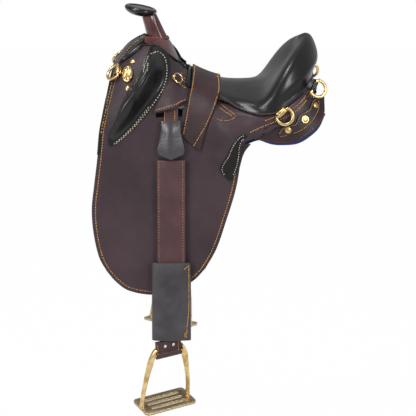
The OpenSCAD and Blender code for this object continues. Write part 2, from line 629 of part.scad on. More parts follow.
module horn_cap() {
    edge = horn_cap_t / 2;
    color("#1b1614") cap_place() rotate_extrude($fn = 64) union() {
            square([horn_cap_d / 2 - edge, horn_cap_t]);
            translate([horn_cap_d / 2 - edge, edge]) intersection() {
                circle(r = edge);
                translate([0, -edge]) square([edge, horn_cap_t]);
            }
        }
}
collar_front_share = -0.625;
collar_rear_share = -0.2;
collar_inset_share = 0.014;
function collar_q(x) = q_at(x, flap_top_z(x)) - collar_inset_share;
function collar_rise(p) =
    let (r = norm([p[0] - horn_foot[0], p[1]]))
    max(0, crown_h - p[2]) * (1 - ease((2 * r - horn_foot_d) / horn_foot_d)) / 2;
module horn_collar() {
    xs = spread(collar_front_share * half_len, collar_rear_share * half_len, 12);
    places = [for (x = xs) [for (q = spread(-collar_q(x), collar_q(x), 12)) [x, q]]];
    over = function (c) let (p = raised(c[0], c[1], flap_t)) p + [0, 0, collar_rise(p)];
    top = [for (row = places) [for (c = row) over(c)]];
    base = [for (row = places) [for (c = row) raised(c[0], c[1], 0)]];
    color("#5a2a1e") difference() {
        between(top, base);
        translate(horn_foot - [0, 0, crown_h / 2]) cylinder(d = horn_foot_d + 8 * layer_gap, h = crown_h);
    }
}

// Panels and their rear facings
panel_step_shares = [0.32, 0.09];
panel_gap = 3 * layer_gap;
function panel_out(x) =
    let (t = ease((x / half_len - panel_step_shares[0]) / panel_step_shares[1]))
    -mix(bar_out + tree_t + panel_gap, facing_t + 6 * layer_gap, t);
panel_end_shares = [-0.75, 0.985];
panel_top_shares = [[-0.75, 0.1], [-0.5, 0.2], [-0.2, 0.16], [0.2, 0.1], [0.4, 0.06], [0.6, 0.15],
    [0.72, 0.24], [0.84, 0.31], [0.985, 0.33]];
panel_low_shares = [[-0.75, -0.24], [-0.5, -0.29], [0.15, -0.29], [0.3, -0.2], [0.42, -0.11],
    [0.6, -0.165], [0.74, -0.155], [0.86, -0.05], [0.94, 0.06], [0.985, 0.15]];
// Stations across the panel and how full it is at each
panel_width_shares = [0, 0.08, 0.25, 0.5, 0.75, 0.92, 1];
panel_full_shares = [0.15, 0.6, 0.95, 1, 0.95, 0.6, 0.15];
panel_steps = 22;
function panel_z(x, u) =
    let (s = x / half_len) crown_h * mix(smooth(panel_top_shares, s), smooth(panel_low_shares, s), u);
module panel() {
    xs = spread(panel_end_shares[0] * half_len, panel_end_shares[1] * half_len, panel_steps);
    us = panel_width_shares;
    full = panel_full_shares;
    m = [for (j = [0 : len(us) - 1]) j];
    top = [for (x = xs) [for (u = us) side_point([x, panel_z(x, u)], panel_out(x))]];
    base = [for (x = xs) [for (j = m) side_point([x, panel_z(x, us[j])], panel_out(x) - panel_t * full[j])]];
    between(top, base);
}
facing_t = 2;
module panel_left() {
    color("#2b3f86") panel();
}
module panel_right() {
    color("#2b3f86") mirror([0, 1, 0]) panel();
}
facing_from_share = 0.42;
facing_width_shares = [-0.12, 0.9];
module panel_facings() {
    xs = spread(facing_from_share * half_len, panel_end_shares[1] * half_len, 11);
    us = spread(facing_width_shares[0], facing_width_shares[1], 4);
    grid = [for (x = xs) [for (u = us) [x, panel_z(x, u)]]];
    color("#2f1d19") both_sides() side_leather(grid, -3 * layer_gap - facing_t, -3 * layer_gap);
}
patch_t = 2;
overlay_end_shares = [0.5, 0.95];
overlay_width_shares = [0.14, 0.78];
module facing_patches() {
    xs = spread(overlay_end_shares[0] * half_len, overlay_end_shares[1] * half_len, 9);
    us = spread(overlay_width_shares[0], overlay_width_shares[1], 4);
    grid = [for (x = xs) [for (u = us) [x, panel_z(x, u)]]];
    color("#3a241d") both_sides() side_leather(grid, -layer_gap, -layer_gap + patch_t);
}
concho_shares = [[0.655, 0], [0.8, 0.11], [0.895, 0.25]];
stud_top_share = 0.55;
module stud(d) {
    cylinder(d = d, h = concho_h / 2);
    translate([0, 0, concho_h / 2]) cylinder(d1 = d, d2 = d * stud_top_share, h = concho_h / 2);
}
module rear_conchos() {
    color("#c9a24a") both_sides()
        for (s = concho_shares)
            on_side(s[0] * half_len, s[1] * crown_h, patch_t + layer_gap, 0) stud(concho_d);
}

// Trim on the pommel
oval_w_share = 0.102;
oval_len_share = 0.153;
oval_w = oval_w_share * half_len;
oval_len = oval_len_share * half_len;
oval_slot = 3;
oval_share = [-0.664, 0.625];
screw_shares = [[-0.625, 0.755], [-0.664, 0.475]];
module oval_conchos() {
    r = oval_w / 2;
    place = [oval_share[0] * half_len, oval_share[1] * crown_h];
    color("#c9a24a") both_sides() on_side(place[0], place[1], flap_t + layer_gap, 0)
        difference() {
            union() {
                for (s = [-1, 1]) translate([0, s * (oval_len / 2 - r), 0]) cylinder(r = r, h = concho_h);
                translate([-r, -(oval_len / 2 - r), 0]) cube([oval_w, oval_len - oval_w, concho_h]);
            }
            translate([-oval_slot / 2, -oval_len, concho_h / 2]) cube([oval_slot, oval_len * 2, concho_h]);
        }
}
module pommel_screws() {
    color("#c9a24a") both_sides()
        for (s = screw_shares) on_side(s[0] * half_len, s[1] * crown_h, flap_t + layer_gap, 0) stud(screw_d);
}

// Dee rings: the bar lies along local y at the origin, the bow reaches along local x
dee_h = dee_wire / 2 + pin_gap + clip_wall;
clip_len = 22;
clip_plate = 16;
module dee() {
    r = dee_bar / 2;
    w = dee_wire / 2;
    translate([0, -r - w, 0]) rotate([-90, 0, 0]) cylinder(r = w, h = dee_bar + dee_wire);
    for (s = [-1, 1]) translate([0, s * r, 0]) rotate([0, 90, 0]) cylinder(r = w, h = dee_reach - r);
    translate([dee_reach - r, 0, 0]) rotate([0, 0, -90])
        rotate_extrude(angle = 180) translate([r, 0]) circle(r = w);
}
// A clip wraps the bar and has a foot that reaches from one place to another along the leather
module dee_clip(from, to) {
    rotate([90, 0, 0]) translate([0, 0, -clip_len / 2]) linear_extrude(clip_len) difference() {
        union() {
            circle(r = dee_h);
            translate([from, -dee_h - overlay_t]) square([to - from, overlay_t + clip_wall]);
        }
        circle(r = dee_wire / 2 + pin_gap);
    }
}
dee_lift = flap_t + layer_gap + dee_h + overlay_t;
front_dee_share = [-0.724, 0.636];
front_dee_turn = 180;
rear_dee_share = [0.61, 0.21];
rear_dee_turn = -48;
module front_dee_place() {
    place = [front_dee_share[0] * half_len, front_dee_share[1] * crown_h];
    on_side(place[0], place[1], dee_lift, front_dee_turn) children();
}
module rear_dee_place() {
    place = [rear_dee_share[0] * half_len, rear_dee_share[1] * crown_h];
    on_side(place[0], place[1], dee_lift, rear_dee_turn) children();
}
// The high dee hangs at the corner of the cantle's back, rolled so that its bow points to the rear
high_dee_share = 0.84;
high_dee_drop = 5;
high_dee_tilt = 27;
high_dee_roll = 50;
high_dee_out = 10;
module high_dee_place() {
    p = through(seat_edge, high_dee_share);
    away = atan2(p[1], p[0] - half_len / 2);
    out = dee_h + overlay_t + high_dee_out;
    translate(p + [0, 0, -high_dee_drop]) rotate([0, 0, away]) translate([out, 0, 0])
        rotate([high_dee_roll, 0, 0]) rotate([0, 90 - high_dee_tilt, 0]) children();
}
module front_dee_clips() {
    color("#c9a24a") both_sides() front_dee_place() dee_clip(-dee_h, clip_plate / 2);
}
module rear_dee_clips() {
    color("#c9a24a") both_sides() rear_dee_place() dee_clip(-clip_plate / 2, dee_h);
}
module high_dee_chapes() {
    color("#19191b") both_sides() high_dee_place() dee_clip(-clip_plate, dee_h);
}
module front_dee_left() {
    color("#c9a24a") front_dee_place() dee();
}
module front_dee_right() {
    color("#c9a24a") mirror([0, 1, 0]) front_dee_place() mirror([0, 1, 0]) dee();
}
module rear_dee_left() {
    color("#c9a24a") rear_dee_place() dee();
}
module rear_dee_right() {
    color("#c9a24a") mirror([0, 1, 0]) rear_dee_place() mirror([0, 1, 0]) dee();
}
module high_dee_left() {
    color("#c9a24a") high_dee_place() dee();
}
module high_dee_right() {
    color("#c9a24a") mirror([0, 1, 0]) high_dee_place() mirror([0, 1, 0]) dee();
}

// Tie ring through the eye of a staple
tie_share = [-0.31, 0.58];
eye_gap = 2 * pin_gap;
eye_r = ring_wire / 2 + eye_gap + ring_wire / 2;
tie_lift = flap_t + layer_gap + ring_wire + eye_r;
module tie_place() {
    on_side(tie_share[0] * half_len, tie_share[1] * crown_h, tie_lift, 0) children();
}
module tie_staples() {
    color("#c9a24a") both_sides() tie_place() {
        rotate([90, 0, 0]) difference() {
            cylinder(d = 2 * eye_r + ring_wire, h = ring_wire, center = true);
            cylinder(d = ring_wire + 2 * eye_gap, h = 3 * ring_wire, center = true);
        }
        translate([0, 0, -eye_r - ring_wire]) cylinder(d = ring_wire * 2, h = ring_wire);
    }
}
module tie_ring() {
    translate([ring_d / 2, 0, 0]) rotate_extrude($fn = 48) translate([ring_d / 2, 0]) circle(d = ring_wire);
}
module tie_ring_left() {
    color("#c9a24a") tie_place() tie_ring();
}
module tie_ring_right() {
    color("#c9a24a") mirror([0, 1, 0]) tie_place() tie_ring();
}

// Stirrup bar behind the slot, and the strap that hangs from it
strap_low = flap_t + layer_gap + sleeve_t + layer_gap;
bar_z = 52;
bar_up = slope_y(bar_z);
bar_in = -15;
bar_len_share = 0.219;
bar_len = bar_len_share * half_len;
bar_lug = 8;
lug_len = 14;
strap_t = 4;
module stirrup_bars() {
    color("#7d8288") both_sides() side_plane() {
        translate([-leather_ahead - bar_len / 2, bar_up, bar_in]) rotate([0, 90, 0])
            cylinder(d = rod_d, h = bar_len);
        for (x = [-leather_ahead - bar_len / 2, -leather_ahead + bar_len / 2])
            translate([x - bar_lug / 2, bar_up - bar_lug / 2, bar_in - lug_len])
                cube([bar_lug, bar_lug, lug_len]);
    }
}
bar_strap_end = -10;
strap_bend_z = 20;
strap_side_share = 0.9;
module bar_straps() {
    ring = rod_d / 2 + pin_gap + strap_t;
    side = ring * strap_side_share;
    bend = slope_y(strap_bend_z);
    end = slope_y(bar_strap_end);
    color("#4a2a20") both_sides() side_plane() translate([-leather_ahead - bar_strap_w / 2, 0, 0])
        rotate([90, 0, 90]) linear_extrude(bar_strap_w) difference() {
            union() {
                translate([bar_up, bar_in]) circle(r = ring);
                polygon([[bar_up, bar_in + side], [bar_up - side, bar_in], [bend, strap_low],
                    [end, strap_low], [end, strap_low + strap_t], [bend, strap_low + strap_t]]);
            }
            translate([bar_up, bar_in]) circle(r = rod_d / 2 + pin_gap);
        }
}
buckle_w = 46;
buckle_h = 36;
buckle_wire = 5;
module buckles() {
    color("#c9a24a") both_sides() side_plane()
        translate([-leather_ahead - buckle_w / 2, slope_y(bar_strap_end) - buckle_h - layer_gap, strap_low])
            difference() {
                cube([buckle_w, buckle_h, strap_t]);
                translate([buckle_wire, buckle_wire, -strap_t])
                    cube([buckle_w - 2 * buckle_wire, buckle_h - 2 * buckle_wire, strap_t * 3]);
            }
}
guard_shares = [[-0.34, 1], [0.34, 1], [0.36, 0.7], [0.44, 0.4], [0.5, 0.2], [0.44, 0.08], [0.25, 0.02],
    [0, -0.06], [-0.25, 0.02], [-0.44, 0.08], [-0.5, 0.2], [-0.44, 0.4], [-0.36, 0.7]];
guard_h = 84;
guard_w = 63;
guard_low_z = -60;
module buckle_guards() {
    low = strap_low + strap_t + layer_gap;
    color("#222226") both_sides() side_plane() translate([-leather_ahead, slope_y(guard_low_z), low])
        linear_extrude(overlay_t) polygon([for (s = guard_shares) [s[0] * guard_w, s[1] * guard_h]]);
}

// Stirrup leather, sleeve, loop and iron
sleeve_end = -sleeve_down - sleeve_len;
module stirrup_leather() {
    side_plane() translate([-leather_ahead - leather_w / 2, sleeve_end, strap_low])
        difference() {
            union() {
                cube([leather_w, -fold_drop - sleeve_end, leather_t]);
                translate([0, -fold_drop - sleeve_end, leather_t / 2]) rotate([0, 90, 0])
                    cylinder(d = leather_t, h = leather_w);
            }
            translate([leather_w / 2 - loop_ahead, 0, leather_t / 2]) rotate([flap_lean - 90, 0, 0])
                cylinder(d = swivel_d + 2 * pin_gap, h = 2 * (swivel_len + loop_drop), center = true);
        }
}
module stirrup_leather_left() {
    color("#55302a") stirrup_leather();
}
module stirrup_leather_right() {
    color("#55302a") mirror([0, 1, 0]) stirrup_leather();
}
module oval(w, t) {
    square([w - t, t], center = true);
    for (s = [-1, 1]) translate([s * (w - t) / 2, 0]) circle(d = t);
}
module sleeve() {
    hole_t = leather_t + 2 * layer_gap;
    side_plane() translate([-leather_ahead, -sleeve_down, strap_low + leather_t / 2]) rotate([90, 0, 0])
        linear_extrude(sleeve_len) difference() {
            oval(sleeve_w, hole_t + 2 * sleeve_t);
            square([leather_w + 2 * layer_gap, hole_t], center = true);
        }
}
module sleeve_left() {
    color("#17171a") sleeve();
}
module sleeve_right() {
    color("#17171a") mirror([0, 1, 0]) sleeve();
}
// Place of the stirrup under the sleeve: vertical, and turned about the vertical
loop_len = 30;
loop_drop = 2.4;
swivel_d = 4;
swivel_len = 10;
loop_ring = rod_d / 2 + pin_gap + leather_t / 2;
stirrup_y = -bend_half_w + sleeve_end * sin(flap_lean) - (strap_low + leather_t / 2) * cos(flap_lean);
stirrup_z = -bend_drop + sleeve_end * cos(flap_lean) + (strap_low + leather_t / 2) * sin(flap_lean);

module stirrup_place() {
    translate([-leather_ahead - loop_ahead, stirrup_y, stirrup_z - loop_drop]) rotate([0, 0, stirrup_yaw])
        children();
}
module loop() {
    stirrup_place() rotate([90, 0, 90]) translate([0, 0, -leather_w / 2])
        linear_extrude(leather_w) difference() {
            union() {
                translate([-leather_t / 2, -loop_len]) square([leather_t, loop_len]);
                translate([0, -loop_len]) circle(r = loop_ring);
            }
            translate([0, -loop_len]) circle(r = rod_d / 2 + pin_gap);
        }
    stirrup_place() translate([0, 0, -swivel_len / 2]) cylinder(d = swivel_d, h = swivel_len * 3 / 2);
}
rivet_d = 7;
rivet_drop = 9;
rivet_apart = 22;
rivet_head = 1.5;
module loop_rivets() {
    stirrup_place() for (s = [-1, 1]) translate([s * rivet_apart / 2, -leather_t / 2, -rivet_drop])
        rotate([90, 0, 0]) cylinder(d = rivet_d, h = rivet_head);
}
module loop_left() {
    color("#4a2a22") loop();
}
module loop_right() {
    color("#4a2a22") mirror([0, 1, 0]) loop();
}
module loop_rivets_left() {
    color("#d9d4c4") loop_rivets();
}
module loop_rivets_right() {
    color("#d9d4c4") mirror([0, 1, 0]) loop_rivets();
}
tread_slot = 8;
tread_t = 7;
tread_slots = 3;
tread_corner = 9;
slot_len_share = 0.68;
branch_w = 14;
foot_inset = 6;
shoulder_up = 18;
// Outer and inner edges of an arched branch, from its shoulder to its foot: shares of the way out and down
branch_out_shares = [[0.1, 0.1], [0.3, 0], [0.68, 0.22], [0.92, 0.52], [1, 0.8], [1, 1]];
branch_in_shares = [[0, 0.24], [0.22, 0.26], [0.5, 0.4], [0.68, 0.6], [0.74, 0.82], [0.74, 1]];
module branch() {
    from = leather_w / 2 + 2 * layer_gap;
    reach = tread_len / 2 - foot_inset + branch_t / 2 - from;
    place = function (s) [from + s[0] * reach, shoulder_up - s[1] * (stirrup_h + shoulder_up)];
    outer = [for (s = branch_out_shares) place(s)];
    inner = [for (s = branch_in_shares) place(s)];
    down = [for (t = spread(0, 1, 14)) through(outer, t)];
    up = [for (t = spread(1, 0, 14)) through(inner, t)];
    rotate([90, 0, 0]) translate([0, 0, -branch_w / 2]) linear_extrude(branch_w)
        polygon(concat([[from, shoulder_up]], down, up));
}
module tread() {
    c = tread_corner;
    l = tread_len;
    d = tread_depth;
    step = (d - tread_slot) * 2 / (2 * tread_slots + 1);
    slot_len = l * slot_len_share;
    translate([0, 0, -stirrup_h - tread_t]) difference() {
        union() {
            translate([c - l / 2, -d / 2, 0]) cube([l - 2 * c, d, tread_t]);
            translate([-l / 2, c - d / 2, 0]) cube([l, d - 2 * c, tread_t]);
            for (s = [-1, 1], u = [-1, 1])
                translate([s * (l / 2 - c), u * (d / 2 - c), 0]) cylinder(r = c, h = tread_t);
        }
        for (i = [0 : tread_slots - 1])
            translate([-slot_len / 2, (i - (tread_slots - 1) / 2) * step - tread_slot / 2, -tread_t])
                cube([slot_len, tread_slot, tread_t * 3]);
    }
}
module stirrup() {
    half_rod = leather_w / 2 + 2 * layer_gap + branch_t / 2;
    stirrup_place() translate([0, 0, -loop_len]) rotate([iron_tilt, 0, 0]) {
        translate([-half_rod, 0, 0]) rotate([0, 90, 0]) cylinder(d = rod_d, h = 2 * half_rod);
        branch();
        mirror([1, 0, 0]) branch();
        tread();
    }
}
module stirrup_left() {
    color("#b8924a") stirrup();
}
module stirrup_right() {
    color("#b8924a") mirror([0, 1, 0]) stirrup();
}

tree_fork();
gullet_plate();
tree_bars();
tree_seat();
horn_post();
horn_neck();
horn_cap();
horn_collar();
seat_foam();
seat_cover();
rear_jockey();
front_binding();
overgirth();
flap_top_left();
flap_top_right();
flap_left();
flap_right();
sweat_flap_left();
sweat_flap_right();
girth_billets();
knee_pad_left();
knee_pad_right();
bar_covers();
thigh_patch_tops();
thigh_patch_left();
thigh_patch_right();
panel_left();
panel_right();
panel_facings();
facing_patches();
rear_conchos();
oval_conchos();
pommel_screws();
stirrup_bars();
bar_straps();
buckles();
buckle_guards();
front_dee_clips();
rear_dee_clips();
high_dee_chapes();
tie_staples();
stirrup_leather_left();
stirrup_leather_right();
sleeve_left();
sleeve_right();
loop_left();
loop_right();
loop_rivets_left();
loop_rivets_right();
stirrup_left();
stirrup_right();
front_dee_left();
front_dee_right();
rear_dee_left();
rear_dee_right();
high_dee_left();
high_dee_right();
tie_ring_left();
tie_ring_right();
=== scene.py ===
import math
from contextlib import contextmanager
import bpy
import bmesh
from mathutils import Matrix, Vector, noise
from mathutils.bvhtree import BVHTree
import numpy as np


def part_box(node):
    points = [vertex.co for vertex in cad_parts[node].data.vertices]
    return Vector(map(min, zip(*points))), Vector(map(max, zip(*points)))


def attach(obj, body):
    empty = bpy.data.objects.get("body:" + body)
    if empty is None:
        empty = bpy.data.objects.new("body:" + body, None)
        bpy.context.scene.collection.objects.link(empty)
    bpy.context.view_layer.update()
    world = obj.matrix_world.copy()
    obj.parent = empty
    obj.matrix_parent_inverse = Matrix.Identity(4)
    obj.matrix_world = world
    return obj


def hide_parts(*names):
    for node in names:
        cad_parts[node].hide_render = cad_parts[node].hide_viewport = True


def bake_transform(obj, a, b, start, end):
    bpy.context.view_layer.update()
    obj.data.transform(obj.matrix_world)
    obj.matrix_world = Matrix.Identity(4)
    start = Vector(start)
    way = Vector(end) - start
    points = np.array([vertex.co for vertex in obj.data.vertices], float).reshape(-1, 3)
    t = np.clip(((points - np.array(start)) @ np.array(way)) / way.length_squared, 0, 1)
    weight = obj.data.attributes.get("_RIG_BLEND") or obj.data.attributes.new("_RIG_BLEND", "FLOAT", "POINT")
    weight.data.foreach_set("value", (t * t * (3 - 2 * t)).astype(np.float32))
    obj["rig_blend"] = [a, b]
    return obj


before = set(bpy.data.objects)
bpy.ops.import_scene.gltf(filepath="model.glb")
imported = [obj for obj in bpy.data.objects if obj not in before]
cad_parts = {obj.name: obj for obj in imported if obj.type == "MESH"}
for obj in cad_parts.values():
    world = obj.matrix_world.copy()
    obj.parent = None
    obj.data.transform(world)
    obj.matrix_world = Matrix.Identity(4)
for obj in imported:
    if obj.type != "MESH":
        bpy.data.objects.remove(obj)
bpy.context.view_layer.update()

# Tree: the beech fork, bars and dished seat that carry the whole saddle.
# They are glued and screwed together; the fork and bars are lacquered black against sweat, the seat is bare.
def tint(red, green, blue):
    shares = [c / 255 for c in (red, green, blue)]
    return tuple(s / 12.92 if s < 0.0431 else ((s + 0.055) / 1.055) ** 2.4 for s in shares) + (1,)


def new_finish(name, rough, metal=0.0, **sockets):
    made = bpy.data.materials.new(name)
    made.use_nodes = True
    shader = made.node_tree.nodes["Principled BSDF"]
    shader.inputs["Roughness"].default_value = rough
    shader.inputs["Metallic"].default_value = metal
    for key, value in sockets.items():
        shader.inputs[key.replace("_", " ")].default_value = value
    return made, made.node_tree, shader


def put(tree, kind, values=(), **settings):
    made = tree.nodes.new("ShaderNode" + kind)
    for key, value in settings.items():
        setattr(made, key, value)
    for key, value in dict(values).items():
        made.inputs[key].default_value = value
    return made


def wire(tree, *joins):
    for source, out, target, into in joins:
        tree.links.new(source.outputs[out], target.inputs[into])


def laid_on(tree, *patterns, stretch=None):
    source, out = put(tree, "TexCoord"), "Object"
    if stretch:
        drawn = put(tree, "Mapping", {"Scale": stretch})
        wire(tree, (source, out, drawn, "Vector"))
        source, out = drawn, "Vector"
    wire(tree, *[(source, out, p, "Vector") for p in patterns])


def toned(tree, shader, pattern, shade, face, ends, out="Fac"):
    tones = put(tree, "ValToRGB")
    for k, colour in enumerate((shade, face)):
        tones.color_ramp.elements[k].position = ends[k]
        tones.color_ramp.elements[k].color = tint(*colour)
    wire(tree, (pattern, out, tones, "Fac"), (tones, "Color", shader, "Base Color"))


def bump(tree, shader, source, out, strength, depth):
    raised_up = put(tree, "Bump", {"Strength": strength, "Distance": depth})
    wire(tree, (source, out, raised_up, "Height"), (raised_up, "Normal", shader, "Normal"))


def plain_finish(name, rough, values, shade, face, ends, strength, depth, metal=0.0, stretch=None,
                 kind="TexNoise", out="Fac"):
    made, tree, shader = new_finish(name, rough, metal)
    pattern = put(tree, kind, values)
    laid_on(tree, pattern, stretch=stretch)
    toned(tree, shader, pattern, shade, face, ends, out)
    bump(tree, shader, pattern, out, strength, depth)
    return made


def dress(finish, *nodes):
    for node in nodes:
        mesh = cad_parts[node].data
        mesh.materials.clear()
        mesh.materials.append(finish)


beech = plain_finish("planed_beech", 0.6, {"Scale": 16, "Detail": 5, "Roughness": 0.6, "Distortion": 1.2},
                     (150, 112, 70), (196, 160, 112), ends=(0.35, 0.65), strength=0.25, depth=0.001,
                     stretch=(1, 6, 6))
lacquer = plain_finish("black_lacquer", 0.5, {"Scale": 70, "Detail": 4, "Roughness": 0.6},
                       (13, 12, 12), (30, 27, 26), ends=(0, 1), strength=0.2, depth=0.0008)
dress(beech, "tree_seat")
dress(lacquer, "tree_fork", "tree_bars")

# Steel: the gullet plate under the fork, the horn post and the stirrup bars behind the flaps.
# They are forged, filed and left dull, and screwed or riveted to the tree.
steel = plain_finish("forged_steel", 0.45, {"Scale": 60, "Detail": 6, "Roughness": 0.65},
                     (92, 94, 98), (150, 152, 156), ends=(0.3, 0.7), strength=0.15, depth=0.0006, metal=1.0)
dress(steel, "gullet_plate", "horn_post", "stirrup_bars")

# Panels: the stuffed cushions under the tree, lined with blue wool serge where they lie on the horse.
# Each is a serge bag filled with flock, laced to the bars, so it is full and softly rounded.
same_spot = 0.00002


def chosen(piece):
    bpy.ops.object.select_all(action="DESELECT")
    piece.select_set(True)
    bpy.context.view_layer.objects.active = piece


def coated(piece, *finishes):
    for f in finishes:
        piece.data.materials.append(f)


def placed(name, data):
    made = bpy.data.objects.new(name, data)
    bpy.context.collection.objects.link(made)
    return made


@contextmanager
def all_in_edit_mode(piece):
    chosen(piece)
    bpy.ops.object.mode_set(mode="EDIT")
    bpy.ops.mesh.select_all(action="SELECT")
    yield
    bpy.ops.object.mode_set(mode="OBJECT")


def taken_from(node, name, *finishes):
    made = placed(name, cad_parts[node].data.copy())
    made.data.materials.clear()
    chosen(made)
    if made.data.has_custom_normals:
        bpy.ops.mesh.customdata_custom_splitnormals_clear()
    with all_in_edit_mode(made):
        bpy.ops.mesh.remove_doubles(threshold=same_spot)
        bpy.ops.mesh.tris_convert_to_quads(face_threshold=0.9, shape_threshold=0.9)
    coated(made, *finishes)
    return made


@contextmanager
def opened(piece):
    shape = bmesh.new()
    shape.from_mesh(piece.data)
    yield shape
    shape.to_mesh(piece.data)
    shape.free()


def worked(piece, kind, **settings):
    m = piece.modifiers.new(kind.lower(), kind)
    for key, value in settings.items():
        setattr(m, key, value)
    chosen(piece)
    bpy.ops.object.modifier_apply(modifier=m.name)


def smoothed(piece, degrees):
    chosen(piece)
    bpy.ops.object.shade_smooth_by_angle(angle=math.radians(degrees))


def fuller(piece, levels, crease=None, firmness=0.75):
    if crease is not None:
        with opened(piece) as shape:
            edges = shape.edges.layers.float
            layer = edges.get("crease_edge") or edges.new("crease_edge")
            for e in shape.edges:
                if len(e.link_faces) != 2 or e.calc_face_angle(0) > math.radians(crease):
                    e[layer] = firmness
    worked(piece, "SUBSURF", levels=levels, render_levels=levels)


def fixed(piece, slot, *nodes):
    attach(piece, "saddle")
    if nodes:
        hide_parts(*nodes)


serge, tree, shader = new_finish("blue_wool_serge", 0.95, Sheen_Weight=0.35, Sheen_Roughness=0.5,
                                 Sheen_Tint=tint(140, 156, 220))
fuzz = put(tree, "TexNoise", {"Scale": 900, "Detail": 4, "Roughness": 0.7})
felting = put(tree, "TexNoise", {"Scale": 45, "Detail": 5, "Roughness": 0.6})
twill = put(tree, "TexWave", {"Scale": 240, "Distortion": 3.0, "Detail": 2.0})
pile = put(tree, "Math", {1: 1.4}, operation="MULTIPLY_ADD")
laid_on(tree, fuzz, felting, twill)
toned(tree, shader, felting, (15, 36, 86), (28, 60, 122), (0.3, 0.72))
wire(tree, (fuzz, "Fac", pile, 0), (twill, "Fac", pile, 2))
bump(tree, shader, pile, "Value", 0.6, 0.0012)
for side in ("left", "right"):
    panel = taken_from("panel_" + side, "serge_panel_" + side, serge)
    fuller(panel, 2)
    smoothed(panel, 60)
    fixed(panel, "blue_serge", "panel_" + side)

# Seat foam: a moulded pad glued on the tree's seat under the leather.
# It is hidden, so only its open-cell finish is made here.
foam = plain_finish("seat_foam_cells", 0.9, {"Scale": 420}, (196, 186, 150), (226, 218, 188), ends=(0, 1),
                    strength=0.5, depth=0.0008, kind="TexVoronoi", out="Distance")
pad = taken_from("seat_foam", "seat_pad", foam)
fuller(pad, 1)
smoothed(pad, 60)
fixed(pad, "foam", "seat_foam")

# Sweat flaps and girth billets: the under-flaps next to the horse, and the two straps a side for the girth.
# They are cut from plain brown bridle leather with dark burnished edges, and sewn to the tree's bars.
def hide_group():
    group = bpy.data.node_groups.new("worked_hide", "ShaderNodeTree")
    for way, sockets in (("INPUT", ("Face Color", "Shade Color", "Mottle Float", "Grain Float", "Rough Float")),
                         ("OUTPUT", ("Colour Color", "Rough Float", "Height Float"))):
        for key, kind in (s.split() for s in sockets):
            group.interface.new_socket(key, in_out=way, socket_type="NodeSocket" + kind)
    given, result = group.nodes.new("NodeGroupInput"), group.nodes.new("NodeGroupOutput")
    clouds = put(group, "TexNoise", {"Detail": 5, "Roughness": 0.62})
    creases = put(group, "TexNoise", {"Detail": 4, "Roughness": 0.7, "Distortion": 0.6})
    pores = put(group, "TexVoronoi")
    coarse = put(group, "Math", {1: 0.22}, operation="MULTIPLY")
    wear = put(group, "MapRange", {"From Min": 0.36, "From Max": 0.66})
    colour = put(group, "Mix", data_type="RGBA")
    fleck = put(group, "Mix", {"Factor": 0.14}, data_type="RGBA", blend_type="MULTIPLY")
    uneven = put(group, "Math", {1: -0.12}, operation="MULTIPLY_ADD")
    height = put(group, "Math", {1: 1.6}, operation="MULTIPLY_ADD")
    laid_on(group, clouds, creases, pores)
    wire(group, (given, "Grain", coarse, 0), (given, "Mottle", clouds, "Scale"), (coarse, 0, creases, "Scale"),
         (given, "Grain", pores, "Scale"), (clouds, "Fac", wear, "Value"), (wear, 0, colour, "Factor"),
         (given, "Shade", colour, "A"), (given, "Face", colour, "B"), (colour, "Result", fleck, "A"),
         (creases, "Color", fleck, "B"), (fleck, "Result", result, "Colour"), (wear, 0, uneven, 0),
         (given, "Rough", uneven, 2), (uneven, 0, result, "Rough"), (creases, "Fac", height, 0),
         (pores, "Distance", height, 2), (height, 0, result, "Height"))
    return group


worked_hide = hide_group()


def leather(name, face, shade, rough, mottle=14, grain=700, depth=0.3, coat=0.0, shine=0.28):
    made, tree, shader = new_finish(name, rough, Specular_IOR_Level=shine, Coat_Weight=coat, Coat_Roughness=0.2)
    hide = put(tree, "Group", {"Face": tint(*face), "Shade": tint(*shade), "Mottle": mottle, "Grain": grain,
                               "Rough": rough + 0.06}, node_tree=worked_hide)
    wire(tree, (hide, "Colour", shader, "Base Color"), (hide, "Rough", shader, "Roughness"))
    bump(tree, shader, hide, "Height", depth, 0.0006)
    return made


def rim_faces(piece, depth, sharp=0.85):
    with opened(piece) as shape:
        for f in shape.faces:
            soft = [e.calc_length() for e in f.edges if len(e.link_faces) == 2 and e.calc_face_angle(0) < sharp]
            if len(soft) < len(f.edges) - 1 and all(s < depth for s in soft):
                f.material_index = 1


def rounded(piece, width):
    worked(piece, "BEVEL", width=width, segments=2, limit_method="ANGLE", angle_limit=math.radians(40))


def finished(piece, width, degrees=45):
    rounded(piece, width)
    smoothed(piece, degrees)


edge_black = leather("burnished_edge", (20, 18, 19), (12, 11, 12), 0.4, depth=0.15)
under_brown = leather("under_leather", (52, 38, 37), (36, 26, 26), 0.5)
for side in ("left", "right"):
    under = taken_from("sweat_flap_" + side, "under_flap_" + side, under_brown, edge_black)
    rim_faces(under, 0.005)
    finished(under, 0.0009, 40)
    fixed(under, "brown_leather", "sweat_flap_" + side)
billets = taken_from("girth_billets", "girth_straps", under_brown)
finished(billets, 0.0009, 40)
fixed(billets, "strap_leather", "girth_billets")

